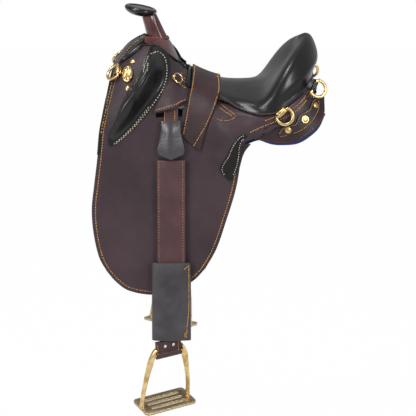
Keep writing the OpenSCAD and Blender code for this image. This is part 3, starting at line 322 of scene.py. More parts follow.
# Flaps: one thick brown hide a side, from the pommel over the bar to the knee, with a black burnished edge.
# A slot passes the stirrup strap, another the overgirth; a gold stitched border runs inside the edge.
# The saddle's form is a crest line along x and a rounded side that hangs straight below the bend.
half_len, crown_h, bend_drop, bend_half = 0.274, 0.188, 0.058, 0.175
roundness, flap_lean, bend_soft = 1.447, math.radians(11), 0.012
crest_shares = ((-1.05, 0.6), (-0.84, 0.64), (-0.78, 0.7), (-0.73, 0.79), (-0.675, 0.88), (-0.61, 0.945),
                (-0.54, 0.985), (-0.45, 1), (-0.37, 0.96), (-0.31, 0.86), (-0.26, 0.71), (-0.21, 0.635),
                (-0.155, 0.565), (0, 0.455), (0.12, 0.415), (0.25, 0.55), (0.45, 0.72), (0.64, 0.8), (0.82, 0.8),
                (1, 0.72))
swell_shares = ((-1.05, 0.1), (-0.79, 0.14), (-0.675, 0.12), (-0.6, 0.08), (-0.47, 0.05), (-0.31, 0.06),
                (-0.157, 0.15), (0, 0.3), (0.09, 0.32), (0.25, 0.156), (0.45, 0.233), (0.64, 0.243), (0.82, 0.07),
                (1, -0.32))


def ease(t):
    t = max(0.0, min(1.0, t))
    return t * t * (3 - 2 * t)


def eased(rows, x):
    i = max([0] + [k for k in range(len(rows) - 1) if x >= rows[k][0]])
    step = rows[i + 1][0] - rows[i][0]
    t = max(0.0, min(1.0, (x - rows[i][0]) / step))

    def slope(k):
        a, b = max(0, k - 1), min(len(rows) - 1, k + 1)
        return (rows[b][1] - rows[a][1]) / (rows[b][0] - rows[a][0]) * step
    u, v = t * t, t * t * t
    return ((2 * v - 3 * u + 1) * rows[i][1] + (v - 2 * u + t) * slope(i)
            + (3 * u - 2 * v) * rows[i + 1][1] + (v - u) * slope(i + 1))


def bent(a, b, c, d, f):
    return 0.5 * (2 * b + (c - a) * f + (2 * a - 5 * b + 4 * c - d) * f * f + (3 * b - a - 3 * c + d) * f * f * f)


def through(points, t):
    n = len(points) - 1
    i = min(n - 1, int(t * n))
    p = [Vector(points[max(0, min(n, k))]) for k in (i - 1, i, i + 1, i + 2)]
    if i == 0:
        p[0] = 2 * p[1] - p[2]
    if i == n - 1:
        p[3] = 2 * p[2] - p[1]
    return bent(*p, t * n - i)


def evenly(points, count, fineness=400):
    fine = [through(points, k / fineness) for k in range(fineness + 1)]
    run = [0.0]
    for a, b in zip(fine, fine[1:]):
        run.append(run[-1] + (b - a).length)
    out, k = [], 0
    for j in range(count + 1):
        want = run[-1] * j / count
        while k < fineness - 1 and run[k + 1] < want:
            k += 1
        f = (want - run[k]) / max(1e-9, run[k + 1] - run[k])
        out.append(fine[k].lerp(fine[k + 1], max(0.0, min(1.0, f))))
    return out


def crest_at(x):
    return crown_h * eased(crest_shares, x / half_len)


def on_form(x, q):
    crest = crest_at(x)
    fat = 1 + eased(swell_shares, x / half_len) * (1 - min(1, abs(q)) ** 4) ** 2
    side = math.copysign(bend_half * (roundness * abs(q) - (roundness - 1) * q * q) * fat, q)
    return Vector((x, side, crest - q * q * (crest + bend_drop)))


def raised(x, q, lift, d=0.005):
    along = on_form(x + half_len * d, q) - on_form(x - half_len * d, q)
    return on_form(x, q) + lift * along.cross(on_form(x, q + d) - on_form(x, q - d)).normalized()


def at_side(x, z, lift):
    crest = crest_at(x)
    hung = Vector((x, -bend_half + math.tan(flap_lean) * (z + bend_drop) - lift * math.cos(flap_lean),
                   z + lift * math.sin(flap_lean)))
    if z < -bend_drop - bend_soft:
        return hung
    laid = raised(x, -math.sqrt(max(0, (crest - z) / (crest + bend_drop))), lift)
    return laid.lerp(hung, ease((-bend_drop + bend_soft - z) / (2 * bend_soft)))


def mm(*rows):
    return [Vector((a / 1000, b / 1000)) for a, b in rows]


def started(kind, name, **sizes):
    bpy.ops.object.select_all(action="DESELECT")
    getattr(bpy.ops.mesh, "primitive_%s_add" % kind)(**sizes)
    made = bpy.context.object
    made.name = name
    return made


def leather_grid(name, columns, rows, spot, *finishes, lift, thick):
    made = started("grid", name, x_subdivisions=columns, y_subdivisions=rows, size=1)
    for v in made.data.vertices:
        u, w = v.co.x + 0.5, v.co.y + 0.5
        v.co = at_side(*spot(u, w), lift(u, w) if callable(lift) else lift)
    made.data.update()
    if made.data.polygons[len(made.data.polygons) // 2].normal.y > 0:
        made.data.flip_normals()
    coated(made, *finishes)
    worked(made, "SOLIDIFY", thickness=thick, offset=-1, material_offset_rim=len(finishes) - 1)
    return made


def cut_out(piece, cutter):
    worked(piece, "BOOLEAN", operation="DIFFERENCE", object=cutter)
    bpy.data.objects.remove(cutter)


fold_start, fold_end = at_side(-0.09, -0.062, 0.003), at_side(-0.09, -0.084, 0.003)


def on_flap(piece, side):
    s = -1 if side == "right" else 1
    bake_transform(piece, "saddle", "flap_%s_body" % side, start=(fold_start.x, s * fold_start.y, fold_start.z),
             end=(fold_end.x, s * fold_end.y, fold_end.z))


def other_side(piece):
    made = piece.copy()
    made.data = piece.data.copy()
    made.name = piece.name.replace("left", "right")
    bpy.context.collection.objects.link(made)
    for v in made.data.vertices:
        v.co.y = -v.co.y
    made.data.flip_normals()
    return made


def both(made, body="saddle", slot=None, *nodes):
    twin = other_side(made)
    for piece, side in ((made, "left"), (twin, "right")):
        if body == "flap":
            on_flap(piece, side)
        else:
            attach(piece, body.replace("SIDE", side))
        if nodes:
            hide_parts(*[n + side for n in nodes])
    return made, twin


flap_brown = leather("flap_leather", (70, 55, 61), (54, 42, 47), 0.44, mottle=8)
flap_front = mm((-213, 129), (-216.5, 121), (-223, 98.5), (-233, 61), (-241, 25), (-247, -5), (-252, -58),
                (-260, -121), (-266, -174), (-263, -227), (-251, -283), (-233, -317))
flap_foot = mm((-233, -317), (-211, -342), (-181, -362), (-129, -371), (-79, -363), (-34, -339), (-6, -311))
flap_rear = mm((222, 87), (222, 57), (199, 36), (166, 21), (134, 8), (112, -4), (95, -13), (82, -22), (76, -34),
               (74, -58), (72, -86), (62, -138), (41, -205), (20, -265), (-6, -311))
flap_head = mm((-213, 129), (-205, 139.5), (-196, 150), (-186, 160.5), (-172, 168.5), (-150, 172.5), (-130, 174),
               (-114, 170), (-100, 159), (-87, 148), (-71, 131), (-57, 116), (-42, 101), (-19, 85), (0, 72), (25, 61),
               (46, 56), (76, 50), (108, 45), (135, 45), (160, 53), (182, 65), (203, 78), (222, 87))
flap_t, flap_cells = 0.005, 96
tuck_depth, tuck_start, tuck_band, tuck_rear, tuck_run = 0.009, 0.955, 0.045, 0.5, 0.1
fronts, rears, heads, feet = (evenly(c, flap_cells) for c in (flap_front, flap_rear, flap_head, flap_foot))


def flap_spot(u, w):
    i, j = round(u * flap_cells), round((1 - w) * flap_cells)
    a, b = i / flap_cells, j / flap_cells
    corners = ((1 - a) * (1 - b) * heads[0] + a * (1 - b) * heads[-1] + (1 - a) * b * feet[0] + a * b * feet[-1])
    return (1 - a) * fronts[j] + a * rears[j] + (1 - b) * heads[i] + b * feet[i] - corners


def flap_lift(u, w):
    return flap_t - tuck_depth * ease((w - tuck_start) / tuck_band) * ease((u - tuck_rear) / tuck_run)


flap = leather_grid("flap_hide_left", flap_cells, flap_cells, flap_spot, flap_brown, edge_black, lift=flap_lift,
                    thick=flap_t)
slot_mid, slot_half, slot_top, slot_slope, slot_foot, slot_depth = -0.089, 0.030, 0.043, 0.006, 0.028, 0.02
cutter = started("cube", "slot_cutter", size=1)
for v in cutter.data.vertices:
    s = v.co * 2
    z = slot_top + slot_slope * s.x if s.z > 0 else slot_foot
    v.co = at_side(slot_mid + slot_half * s.x, z, -slot_depth * s.y)
cut_out(flap, cutter)
# Under the thigh patch the hide puckers at its inner corner, and is pressed flat.
pucker, pressed = flap_t + 0.0008, flap_t - 0.0006
for v in flap.data.vertices:
    x, y, z = v.co
    if 0.03 < x < 0.13 and -0.07 < z < 0.03 and y < at_side(x, z, pucker).y:
        v.co.y = at_side(x, z, pressed).y
finished(flap, 0.0012, 40)
both(flap, "flap", "brown_leather", "flap_top_", "flap_")


def thread(name, face, shade):
    made, tree, shader = new_finish(name, 0.7)
    dirt = put(tree, "TexNoise", {"Scale": 130, "Detail": 3})
    ply = put(tree, "TexWave", {"Scale": 900, "Distortion": 1.0})
    laid_on(tree, dirt, ply)
    toned(tree, shader, dirt, shade, face, (0.35, 0.6))
    bump(tree, shader, ply, "Fac", 0.3, 0.0003)
    return made


gold_thread = thread("gold_thread", (196, 146, 82), (150, 104, 56))
cream_thread = thread("cream_thread", (206, 200, 180), (166, 158, 136))


def skinned(shape, rings, closed=False):
    count = len(rings[0])
    for one, two in zip(rings, rings[1:] + rings[:1] if closed else rings[1:]):
        for i in range(count):
            j = (i + 1) % count
            shape.faces.new((one[i], one[j], two[j], two[i]))
    if not closed:
        shape.faces.new(rings[0][::-1])
        shape.faces.new(rings[-1])


def as_piece(name, shape, finish):
    bmesh.ops.recalc_face_normals(shape, faces=shape.faces)
    mesh = bpy.data.meshes.new(name)
    shape.to_mesh(mesh)
    shape.free()
    made = placed(name, mesh)
    coated(made, finish)
    smoothed(made, 50)
    return made


stitch_flat, stitch_dip, search_step, well_outside = 0.3, 2.2, 0.001, -0.6
stitch_rings = ((-0.5, 0.35), (-stitch_flat, 1.0), (stitch_flat, 1.0), (0.5, 0.35))
stitch_angles = (0, 1.257, 2.513, 3.77, 5.027)


def sew(name, rows, carriers, finish, pitch=0.0062, long=0.0046, wide=0.0011, proud=0.35):
    graph = bpy.context.evaluated_depsgraph_get()
    layers = [BVHTree.FromObject(c, graph) for c in carriers]
    shape = bmesh.new()
    for row in rows:
        spots = []
        for p in evenly(row, max(8, int(sum((b - a).length for a, b in zip(row, row[1:])) / search_step))):
            if len(p) == 3:
                hits = [t.find_nearest(p) for t in layers]
            else:
                hits = [t.ray_cast(Vector((p.x, well_outside, p.y)), Vector((0, 1, 0))) for t in layers]
            hits = [h for h in hits if h[0] is not None]
            if hits:
                spots.append(min(hits, key=lambda h: (h[0] - p).length if len(p) == 3 else h[0].y)[:2])
        run, longest_step = pitch / 2, 0.008
        for (before, _), (spot, out), (after, _) in zip(spots, spots[1:], spots[2:]):
            step = (spot - before).length
            if step > longest_step:
                run = 0
                continue
            run += step
            if run < pitch:
                continue
            run -= pitch
            along = after - before
            along = (along - along.dot(out) * out).normalized()
            across = out.cross(along)
            rings = []
            for s, r in stitch_rings:
                mid = spot + along * s * long + out * wide * (proud - stitch_dip * max(0, abs(s) - stitch_flat))
                rings.append([shape.verts.new(mid + r * wide * (math.cos(a) * out + math.sin(a) * across))
                              for a in stitch_angles])
            skinned(shape, rings)
    return as_piece(name, shape, finish)


def inset(points, by):
    fine = evenly(points, 160)
    out = []
    for k, p in enumerate(fine):
        d = (fine[min(len(fine) - 1, k + 1)] - fine[max(0, k - 1)]).normalized()
        out.append(Vector((p.x - d.y * by, p.y + d.x * by)))
    return out


border_line = inset(flap_front[1:] + flap_foot[1:] + flap_rear[::-1][1:6], 0.0085)
both(sew("flap_border_left", [border_line], [flap], gold_thread), "flap")
leaf_rows = [mm((31, 51), (46, 43), (63, 33)), mm((25, 48), (41, 39), (57, 30)),
             mm((18, 28), (31, 23), (45, 22), (57, 26), (65, 33)), mm((-64, 116), (-54, 110)),
             mm((-62, 109), (-51, 102)), mm((-59, 103), (-49, 94))]
both(sew("flap_leaf_left", leaf_rows, [flap], gold_thread, pitch=0.0048, long=0.0036, wide=0.0009))

# Front binding: a black strap sewn over the pommel's front edge with a gold line, broad at the top and narrow below.
# Beside it a black leaf of leather covers the join with the horn collar, and black piping edges the pommel.
black_hide = leather("black_leather", (25, 25, 27), (16, 16, 18), 0.3, grain=800, depth=0.2, coat=0.16, shine=0.34)
binding_outer = mm((-160, 181), (-172, 174.8), (-184, 166.2), (-196, 153.4), (-207, 139.4), (-214, 131),
                   (-217.6, 121.5), (-224, 98.5), (-234, 61), (-242, 25), (-248, -5), (-253, -54))
binding_inner = mm((-153, 181.5), (-162, 174.5), (-172, 165.5), (-182, 155), (-192, 144), (-199, 134), (-205, 121),
                   (-212, 98), (-223.5, 61), (-233, 25), (-240, -5), (-246, -54))
leaf_outer = mm((-150, 182), (-160, 174), (-170, 164.5), (-180, 154), (-191, 142.5), (-199, 136))
leaf_inner = mm((-147, 183), (-149, 174), (-158, 165), (-173, 154), (-187, 143.5), (-199, 135))
leaf_flat, leaf_rise, leaf_tip = 0.0062, 0.0034, 0.12


def between(front, rear):
    return lambda u, w: through(front, 1 - w).lerp(through(rear, 1 - w), u)


def leaf_lift(u, w):
    return leaf_flat + leaf_rise * math.sin(math.pi * u) ** 0.7 * math.sin(math.pi * min(1, leaf_tip + w)) ** 0.5


def swept(name, path, sizes, finish, sides=10, closed=False, up=Vector((0, 0, 1))):
    shape = bmesh.new()
    rings = []
    last = len(path) - 1
    for k, spot in enumerate(path):
        ahead = path[(k + 1) % len(path) if closed else min(last, k + 1)]
        behind = path[k - 1 if closed else max(0, k - 1)]
        along = (ahead - behind).normalized()
        across = along.cross(up).normalized()
        rise = across.cross(along)
        a, b = sizes(k / last) if callable(sizes) else sizes
        angles = [2 * math.pi * i / sides for i in range(sides)]
        rings.append([shape.verts.new(spot + across * a * math.cos(t) + rise * b * math.sin(t)) for t in angles])
    skinned(shape, rings, closed)
    return as_piece(name, shape, finish)


def beside(line, lift):
    return [at_side(*p, lift) for p in line]


binding_spot = between(binding_outer, binding_inner)
binding = leather_grid("pommel_binding_left", 10, 80, binding_spot, black_hide, edge_black, lift=0.0072, thick=0.003)
leaf = leather_grid("pommel_leaf_left", 16, 24, between(leaf_outer, leaf_inner), black_hide, edge_black,
                    lift=leaf_lift, thick=0.003)
for made in (binding, leaf):
    finished(made, 0.0008)
binding_row = beside([binding_spot(0.7, 1 - k / 60) for k in range(2, 56)], 0.012)
both(binding, "saddle", "black_leather")
both(leaf)
both(swept("pommel_piping_left", beside(evenly(flap_head[4:12], 60), 0.0062), (0.0021, 0.0021), edge_black))
both(sew("binding_seam_left", [binding_row], [binding], gold_thread, pitch=0.0076, long=0.005, wide=0.0011))
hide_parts("front_binding")

# Facings: the panel's brown leather rear with a rolled red-brown edge, and a scalloped patch sewn on each side.
# The patch carries the round brass studs, and all are sewn through into the panel.
def shell(node, name, slot, levels, depth, *finishes):
    made = taken_from(node, name, *finishes)
    rim_faces(made, depth)
    fuller(made, levels, 50)
    smoothed(made, 45)
    fixed(made, slot, node)
    return made


facing_brown = leather("facing_leather", (58, 45, 48), (44, 33, 36), 0.42)
roll_red = leather("facing_roll", (78, 44, 38), (54, 30, 27), 0.36, coat=0.1)
shell("panel_facings", "rear_facings", "brown_leather", 2, 0.004, facing_brown, edge_black)
patch_high = mm((160, -12), (168, 6), (184, 12), (199, 17), (206, 32), (219, 40), (231, 45), (240, 62), (254, 64))
patch_low = mm((160, -14), (182, -11), (209, -2), (234, 13), (251, 34), (256, 50), (254, 64))
facing_foot = evenly(mm((115, -17), (137, -22), (164, -25), (203, -21.5), (236, -2.6), (258, 16), (269, 31)), 60)
hem_drop, hem_end, hem_full = Vector((0.001, -0.0042)), 0.001, 0.0036


def facing_spot(u, w):
    return through(patch_low, u).lerp(through(patch_high, u), w)


def hem_section(t):
    return (hem_end + hem_full * ease(5 * min(t, 1 - t)),) * 2


overlay = leather_grid("facing_overlay_left", 60, 14, facing_spot, facing_brown, edge_black, lift=0.0022,
                       thick=0.0024)
finished(overlay, 0.0007)
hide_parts("facing_patches")
both(overlay, "saddle", "brown_leather")
roll = swept("facing_roll_left", beside(facing_foot, -0.003), (0.003, 0.003), roll_red)
both(roll, "saddle", "brown_leather")
hem = swept("serge_hem_left", beside([p + hem_drop for p in facing_foot], -0.0065), hem_section, serge, 12)
for made in both(hem, "saddle", "blue_serge"):
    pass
overlay_rows = [[facing_spot(k / 60, w) for k in range(2, 59)] for w in (0.08, 0.9)]
both(sew("facing_seam_left", overlay_rows, [overlay], gold_thread, pitch=0.005, long=0.0034, wide=0.0009))

# Overgirth: the brown surcingle strap that lies over the waist of the seat and goes through the flaps.
# It is one long strap with a tan stitched edge, narrowing to its slot; ahead of it the seat's black tongue shows.
girth_brown = leather("girth_leather", (64, 44, 46), (51, 35, 38), 0.44)
surcingle = shell("overgirth", "surcingle", "strap_leather", 2, 0.005, girth_brown, edge_black)
girth_front = mm((-38, 122), (-38.5, 116), (-39.5, 104), (-40.5, 92), (-41.4, 75), (-43.8, 54), (-47.8, 30),
                 (-55.5, -9))
girth_rear = mm((29.5, 99), (30, 93), (29, 83), (23.5, 68), (16.2, 54), (4.8, 28), (-9.7, 1.4), (-33, -35))
girth_clear, arch_clear, arch_from, arch_run = 0.012, 0.03, 0.06, 0.03
girth_rows = [[at_side(*p, girth_clear + arch_clear * ease((p.y - arch_from) / arch_run)) for p in evenly(row, 60)]
              for row in (girth_front, girth_rear)]
both(sew("surcingle_seam_left", girth_rows, [surcingle], gold_thread))
tongue_front = mm((-50, 112), (-52, 104), (-55, 92), (-46, 82))
tongue_rear = mm((-40, 112), (-40, 104), (-40, 94), (-38, 82))
tongue = leather_grid("seat_tongue_left", 10, 20, between(tongue_front, tongue_rear), black_hide, edge_black,
                      lift=0.0078, thick=0.0026)
finished(tongue, 0.0007)
both(tongue, "saddle", "black_leather")

# Knee pads: black leather rolls stuffed hard and sewn on the flaps ahead of the rider's knee.
# The roll is fullest along its front, with a welt behind the crest, and a cream row is sewn round its flat border.
def shares(*rows):
    return [Vector((a * half_len, b * crown_h)) for a, b in rows]


knee_front = shares((-0.485, 0.9), (-0.53, 0.77), (-0.55, 0.67), (-0.6, 0.55), (-0.675, 0.4), (-0.75, 0.18),
                    (-0.81, 0), (-0.828, -0.08), (-0.82, -0.17))
knee_rear = shares((-0.44, 0.91), (-0.36, 0.84), (-0.33, 0.68), (-0.362, 0.48), (-0.462, 0.277), (-0.58, 0.08),
                   (-0.7, -0.08), (-0.765, -0.15), (-0.81, -0.185))
knee_spot = between(knee_front, knee_rear)
knee_rise, knee_flat, knee_border, knee_fall, knee_welt = 0.0445, 0.0084, 0.045, 0.58, 0.0012
knee_crest, crest_drift, welt_behind, welt_half = 0.3, 0.1, 0.11, 0.016


def knee_lift(u, w):
    full = max(0.0, math.sin(math.pi * ease((1 - w) * 1.15))) ** 0.7
    crest = knee_crest - crest_drift * ease((0.75 - w) / 0.5)
    if u >= crest:
        swell = 1 - ease((u - crest) / knee_fall)
    elif u > knee_border:
        swell = math.sqrt(max(0, 1 - ((crest - u) / (crest - knee_border)) ** 2))
    else:
        swell = 0
    welt = math.exp(-((u - crest - welt_behind) / welt_half) ** 2)
    return knee_flat + (knee_rise * swell - knee_welt * welt) * full


knee = leather_grid("knee_roll_left", 80, 90, knee_spot, black_hide, lift=knee_lift, thick=0.003)
finished(knee, 0.0009, 60)
for made in both(knee, "saddle", "black_leather", "knee_pad_"):
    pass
knee_rows = [[knee_spot(u, 1 - k / 60) for k in range(first, last)]
             for u, first, last in ((0.055, 2, 14), (0.945, 1, 60), (0.88, 30, 56), (0.2, 6, 13))]
knee_rows.append([knee_spot(k / 20, 0.975) for k in range(2, 19)])
both(sew("knee_seam_left", knee_rows, [knee], cream_thread, pitch=0.007, long=0.0036, wide=0.0013))

# Bar covers: brown leather lips over the stirrup bars, standing off the flap so that the strap passes under them.
# They are sewn to the flap along their top with tan thread.
covers = shell("bar_covers", "bar_lips", "brown_leather", 2, 0.004, flap_brown, edge_black)
cover_top = mm((-121, 43), (-108, 47), (-95, 51), (-77.5, 55), (-64, 57.5), (-53, 60))
cover_end = mm((-75, 93), (-62, 84), (-51, 76))
cover_rows = [[p.xz for p in beside(evenly(row, 60), 0.012)] for row in (cover_top, cover_end)]
both(sew("lip_seam_left", cover_rows, [covers], gold_thread))

# Thigh patches: black leather sewn on the rear edge of each flap, where the rider's thigh rubs.
# Each is a thin patch with a cream row along both edges, and bends with the flap.
thigh_front = mm((82, -9), (70, -15), (55, -34), (44, -56), (27, -85), (46, -110))
thigh_rear = mm((90, -12), (80, -20), (74.5, -33), (73, -57), (69, -82), (51, -113))
thigh_spot = between(thigh_front, thigh_rear)
thigh = leather_grid("thigh_patch_hide_left", 16, 40, thigh_spot, black_hide, lift=0.008, thick=0.0024)
finished(thigh, 0.0006, 50)
both(thigh, "flap", "black_leather", "thigh_patch_")
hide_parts("thigh_patch_tops")
thigh_rows = [[thigh_spot(u, 1 - k / 30) for k in range(28)] for u in (0.12, 0.88)]
both(sew("thigh_seam_left", thigh_rows, [thigh], cream_thread, pitch=0.0052, long=0.0028, wide=0.001), "flap")

# Seat: black leather drawn over foam, dished in the middle and rolling softly over to a high cantle.
# It is nailed under its edge, which is piped in brown, and a brown strip with two tan rows covers the nails behind.
seat_half, seat_tall, seat_long, seat_wide = 0.166, 0.194, 80, 44


def seat_line(*rows):
    return [Vector((x * half_len, -y * seat_half, z * seat_tall)) for x, y, z in rows]


seat_edge = seat_line(
    (-0.18, 0.1, 0.55), (-0.07, 0.4, 0.445), (0.037, 0.575, 0.375), (0.146, 0.72, 0.325), (0.263, 0.85, 0.25),
    (0.394, 0.96, 0.205), (0.493, 1, 0.205), (0.584, 0.99, 0.235), (0.664, 0.935, 0.315), (0.76, 0.83, 0.412),
    (0.84, 0.65, 0.5), (0.885, 0.39, 0.557), (0.9, 0, 0.582))
seat_centre = seat_line(
    (-0.18, 0, 0.577), (-0.07, 0, 0.5), (0.037, 0, 0.456), (0.146, 0, 0.433), (0.274, 0, 0.423), (0.4, 0, 0.428),
    (0.493, 0, 0.443), (0.577, 0, 0.5), (0.65, 0, 0.577), (0.712, 0, 0.67), (0.76, 0, 0.773), (0.785, 0, 0.88),
    (0.803, 0, 0.96))
seat_rim = seat_line(
    (-0.18, 0.06, 0.568), (-0.07, 0.27, 0.475), (0.037, 0.42, 0.42), (0.146, 0.55, 0.355), (0.274, 0.7, 0.318),
    (0.394, 0.81, 0.306), (0.482, 0.86, 0.358), (0.566, 0.83, 0.515), (0.657, 0.72, 0.696), (0.734, 0.54, 0.83),
    (0.8, 0.36, 0.905), (0.84, 0.18, 0.955), (0.858, 0, 0.975))
seat_bulge = ((0, 0), (0.25, 0), (0.45, 0.0025), (0.7, 0.005), (1, 0.01))


def seat_section(t, count, steps=16):
    centre, rim, edge = (through(line, t) for line in (seat_centre, seat_rim, seat_edge))
    away = Vector((max(0.00001, rim.x - half_len / 2), rim.y - 0.00001, 0)).normalized()
    swell = (rim + edge) / 2 + away * eased(seat_bulge, t)
    chain = [Vector((rim.x, -rim.y, rim.z)), centre, rim, swell, edge, 2 * edge - swell]
    curve = [bent(*chain[i:i + 4], k / steps) for i in range(3) for k in range(steps)]
    return evenly(curve + [edge], count)


seat = started("grid", "seat_hide", x_subdivisions=seat_wide, y_subdivisions=seat_long, size=1)
sections = [seat_section(k / seat_long, seat_wide) for k in range(seat_long + 1)]
for v in seat.data.vertices:
    v.co = sections[round((v.co.y + 0.5) * seat_long)][round((v.co.x + 0.5) * seat_wide)]
    v.co.y = min(0, v.co.y)
worked(seat, "MIRROR", use_axis=(False, True, False), merge_threshold=0.0004)
with opened(seat) as shape:
    bmesh.ops.remove_doubles(shape, verts=shape.verts, dist=0.0002)
    bmesh.ops.recalc_face_normals(shape, faces=shape.faces)
    top = max(shape.faces, key=lambda f: f.calc_center_median().z)
    if top.normal.z < 0:
        bmesh.ops.reverse_faces(shape, faces=shape.faces)
coated(seat, black_hide)
nailed, free_band, full_band, front_full = 0.002, 0.02, 0.03, 0.25
free, full = (seat.vertex_groups.new(name=n) for n in ("free", "full"))
edge_spots = evenly(seat_edge, 120)
for v in seat.data.vertices:
    inside = min((Vector((v.co.x, -abs(v.co.y), v.co.z)) - e).length for e in edge_spots) - nailed
    if inside > 0:
        rearward = ease((v.co.x - 0.1) / 0.1)
        free.add([v.index], ease(inside / free_band), "REPLACE")
        full.add([v.index], ease(inside / full_band) * (front_full + (1 - front_full) * rearward), "REPLACE")
worked(seat, "SMOOTH", factor=0.5, iterations=40, vertex_group="free")
worked(seat, "DISPLACE", mid_level=0, strength=0.009, vertex_group="full")
worked(seat, "SOLIDIFY", thickness=0.0036, offset=-1)
finished(seat, 0.001, 60)
fixed(seat, "black_leather", "seat_cover")
jockey = shell("rear_jockey", "cantle_strip", "brown_leather", 2, 0.005, flap_brown, edge_black)
piping_line = [p + Vector((0, -0.001, -0.0012)) for p in evenly(seat_edge[1:], 90)]
both(swept("seat_piping_left", piping_line, (0.0019, 0.0019), facing_brown), "saddle", "brown_leather")
strip_rows = [mm((128, 23), (157, 35), (176, 43), (201, 56), (219, 70), (232, 84)),
              mm((94, -4), (110, 4), (123, 10), (150, 21), (174, 31), (201, 45), (219, 61), (234, 74))]
both(sew("strip_seam_left", strip_rows, [flap, jockey], gold_thread))

# Horn: a steel post wrapped in red-brown leather that wrinkles as it narrows, with a round bound cap.
# The collar of the same leather covers the pommel's top and is piped in black.
horn_red = leather("horn_leather", (100, 58, 58), (66, 36, 37), 0.24, mottle=40, grain=500, depth=0.2, coat=0.4)
cap_black = leather("cap_binding", (22, 21, 22), (13, 12, 13), 0.2, depth=0.12, coat=0.4)
cap_brown = leather("cap_top", (70, 42, 37), (46, 28, 26), 0.28, mottle=60, depth=0.2, coat=0.3)
tan_edge = leather("collar_edge", (150, 96, 62), (112, 68, 44), 0.4)


def turned(name, profile, place, sides, *finishes):
    before = profile[0]
    made = started("circle", name, vertices=sides, radius=before[0], location=(0, 0, before[1]))
    bpy.ops.object.transform_apply(location=True)
    with all_in_edit_mode(made):
        for r, h in profile[1:]:
            bpy.ops.mesh.extrude_edges_move(TRANSFORM_OT_translate={"value": (0, 0, h - before[1])})
            bpy.ops.transform.resize(value=(r / before[0], r / before[0], 1), center_override=(0, 0, h))
            before = (r, h)
        bpy.ops.mesh.edge_face_add()
    with opened(made) as shape:
        bmesh.ops.holes_fill(shape, edges=shape.edges, sides=0)
        bmesh.ops.recalc_face_normals(shape, faces=shape.faces)
    made.data.transform(place)
    coated(made, *finishes)
    return made


horn_foot, horn_lean, neck_steps = Vector((-0.1219, 0, 0.190)), math.atan(17 / 51), 40
neck_foot, neck_taper, neck_waist, neck_tall, neck_sunk = 0.0262, 0.009, 0.0016, 0.08, 0.024
crease_depth, crease_round, crease_along = 0.0014, 2.3, 26
neck_profile = [(neck_foot - neck_taper * t - neck_waist * math.sin(math.pi * t), neck_tall * t - neck_sunk)
                for t in (k / neck_steps for k in range(neck_steps + 1))]
neck = turned("horn_wrap", neck_profile, Matrix.Identity(4), 64, horn_red)
for v in neck.data.vertices:
    r = v.co.xy.length
    if r > 0.012:
        a = math.atan2(v.co.y, v.co.x)
        fold = noise.noise(Vector((crease_round * math.cos(a), crease_round * math.sin(a), v.co.z * crease_along)))
        grow = 1 + crease_depth * fold / r
        v.co.x *= grow
        v.co.y *= grow
neck.data.transform(Matrix.Translation(horn_foot) @ Matrix.Rotation(-horn_lean, 4, "Y"))
smoothed(neck, 60)
fixed(neck, "horn_leather", "horn_neck")
cap_low, cap_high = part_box("horn_cap")
cap_mid = (Vector(cap_low) + Vector(cap_high)) / 2
cap_tilt, cap_top_low, cap_top_half = math.radians(11), 0.004, 0.0285
cap_place = Matrix.Translation(cap_mid) @ Matrix.Rotation(cap_tilt, 4, "Y")
cap_profile = mm((15, -11.8), (20, -11.2), (26, -9.5), (31.5, -6.6), (35.2, -3.4), (37.4, -0.4), (38.1, 2.4),
                 (37.6, 5.2), (35.8, 7.4), (33.2, 8.6), (30.8, 8.6), (29.3, 7.8), (28.5, 6.6), (27, 6.4), (20, 7.2),
                 (10, 7.8), (2, 7.9))
cap = turned("horn_cap_hide", cap_profile, cap_place, 64, cap_black, cap_brown)
for f in cap.data.polygons:
    mid = cap_place.inverted() @ f.center
    if mid.z > cap_top_low and mid.xy.length < cap_top_half:
        f.material_index = 1
smoothed(cap, 50)
fixed(cap, "horn_leather", "horn_cap")
collar = shell("horn_collar", "pommel_collar", "horn_leather", 1, 0.006, horn_red, edge_black)
tail_start, tail_run, tail_black, tail_height, tail_press = -0.098, 0.03, -0.07, 0.0035, 0.75
for v in collar.data.vertices:
    if v.co.x > tail_start:
        crest = crest_at(v.co.x)
        under = crest - (crest + bend_drop) * (v.co.y / bend_half) ** 2
        v.co.z -= max(0, v.co.z - under - tail_height) * tail_press * ease((v.co.x - tail_start) / tail_run)
for f in collar.data.polygons:
    if f.center.x > tail_black:
        f.material_index = 1
bead_long, bead_wide, bead_tip = 0.0292, 0.0284, 0.002
bead_line = [horn_foot + Vector((bead_long * math.cos(a), bead_wide * math.sin(a), -0.001 - bead_tip * math.cos(a)))
             for a in (2 * math.pi * k / 64 for k in range(64))]
band_line = [p + Vector((0, 0, -0.004)) for p in bead_line]
for made in (swept("collar_bead", bead_line, (0.0012, 0.0012), tan_edge, closed=True),
             swept("collar_band", band_line, (0.002, 0.0046), horn_red, closed=True)):
    fixed(made, "horn_leather")

# Brass fittings: cast dees, tie rings, round studs, oval buttons and dome screws, polished and a little tarnished.
# Dees and rings turn in their clips and staples; studs and buttons are pinned through the leather.
def metal(name, bright, dull, rough, speckle, pitting=0.12, detail=6):
    made, tree, shader = new_finish(name, rough, 1.0)
    tarnish = put(tree, "TexNoise", {"Scale": speckle, "Detail": detail, "Roughness": 0.7})
    gloss = put(tree, "MapRange", {"From Min": 0.3, "From Max": 0.7, "To Min": rough + 0.14, "To Max": rough - 0.06})
    laid_on(tree, tarnish)
    toned(tree, shader, tarnish, dull, bright, (0.36, 0.6))
    wire(tree, (tarnish, "Fac", gloss, "Value"), (gloss, 0, shader, "Roughness"))
    bump(tree, shader, tarnish, "Fac", pitting, 0.0005)
    return made


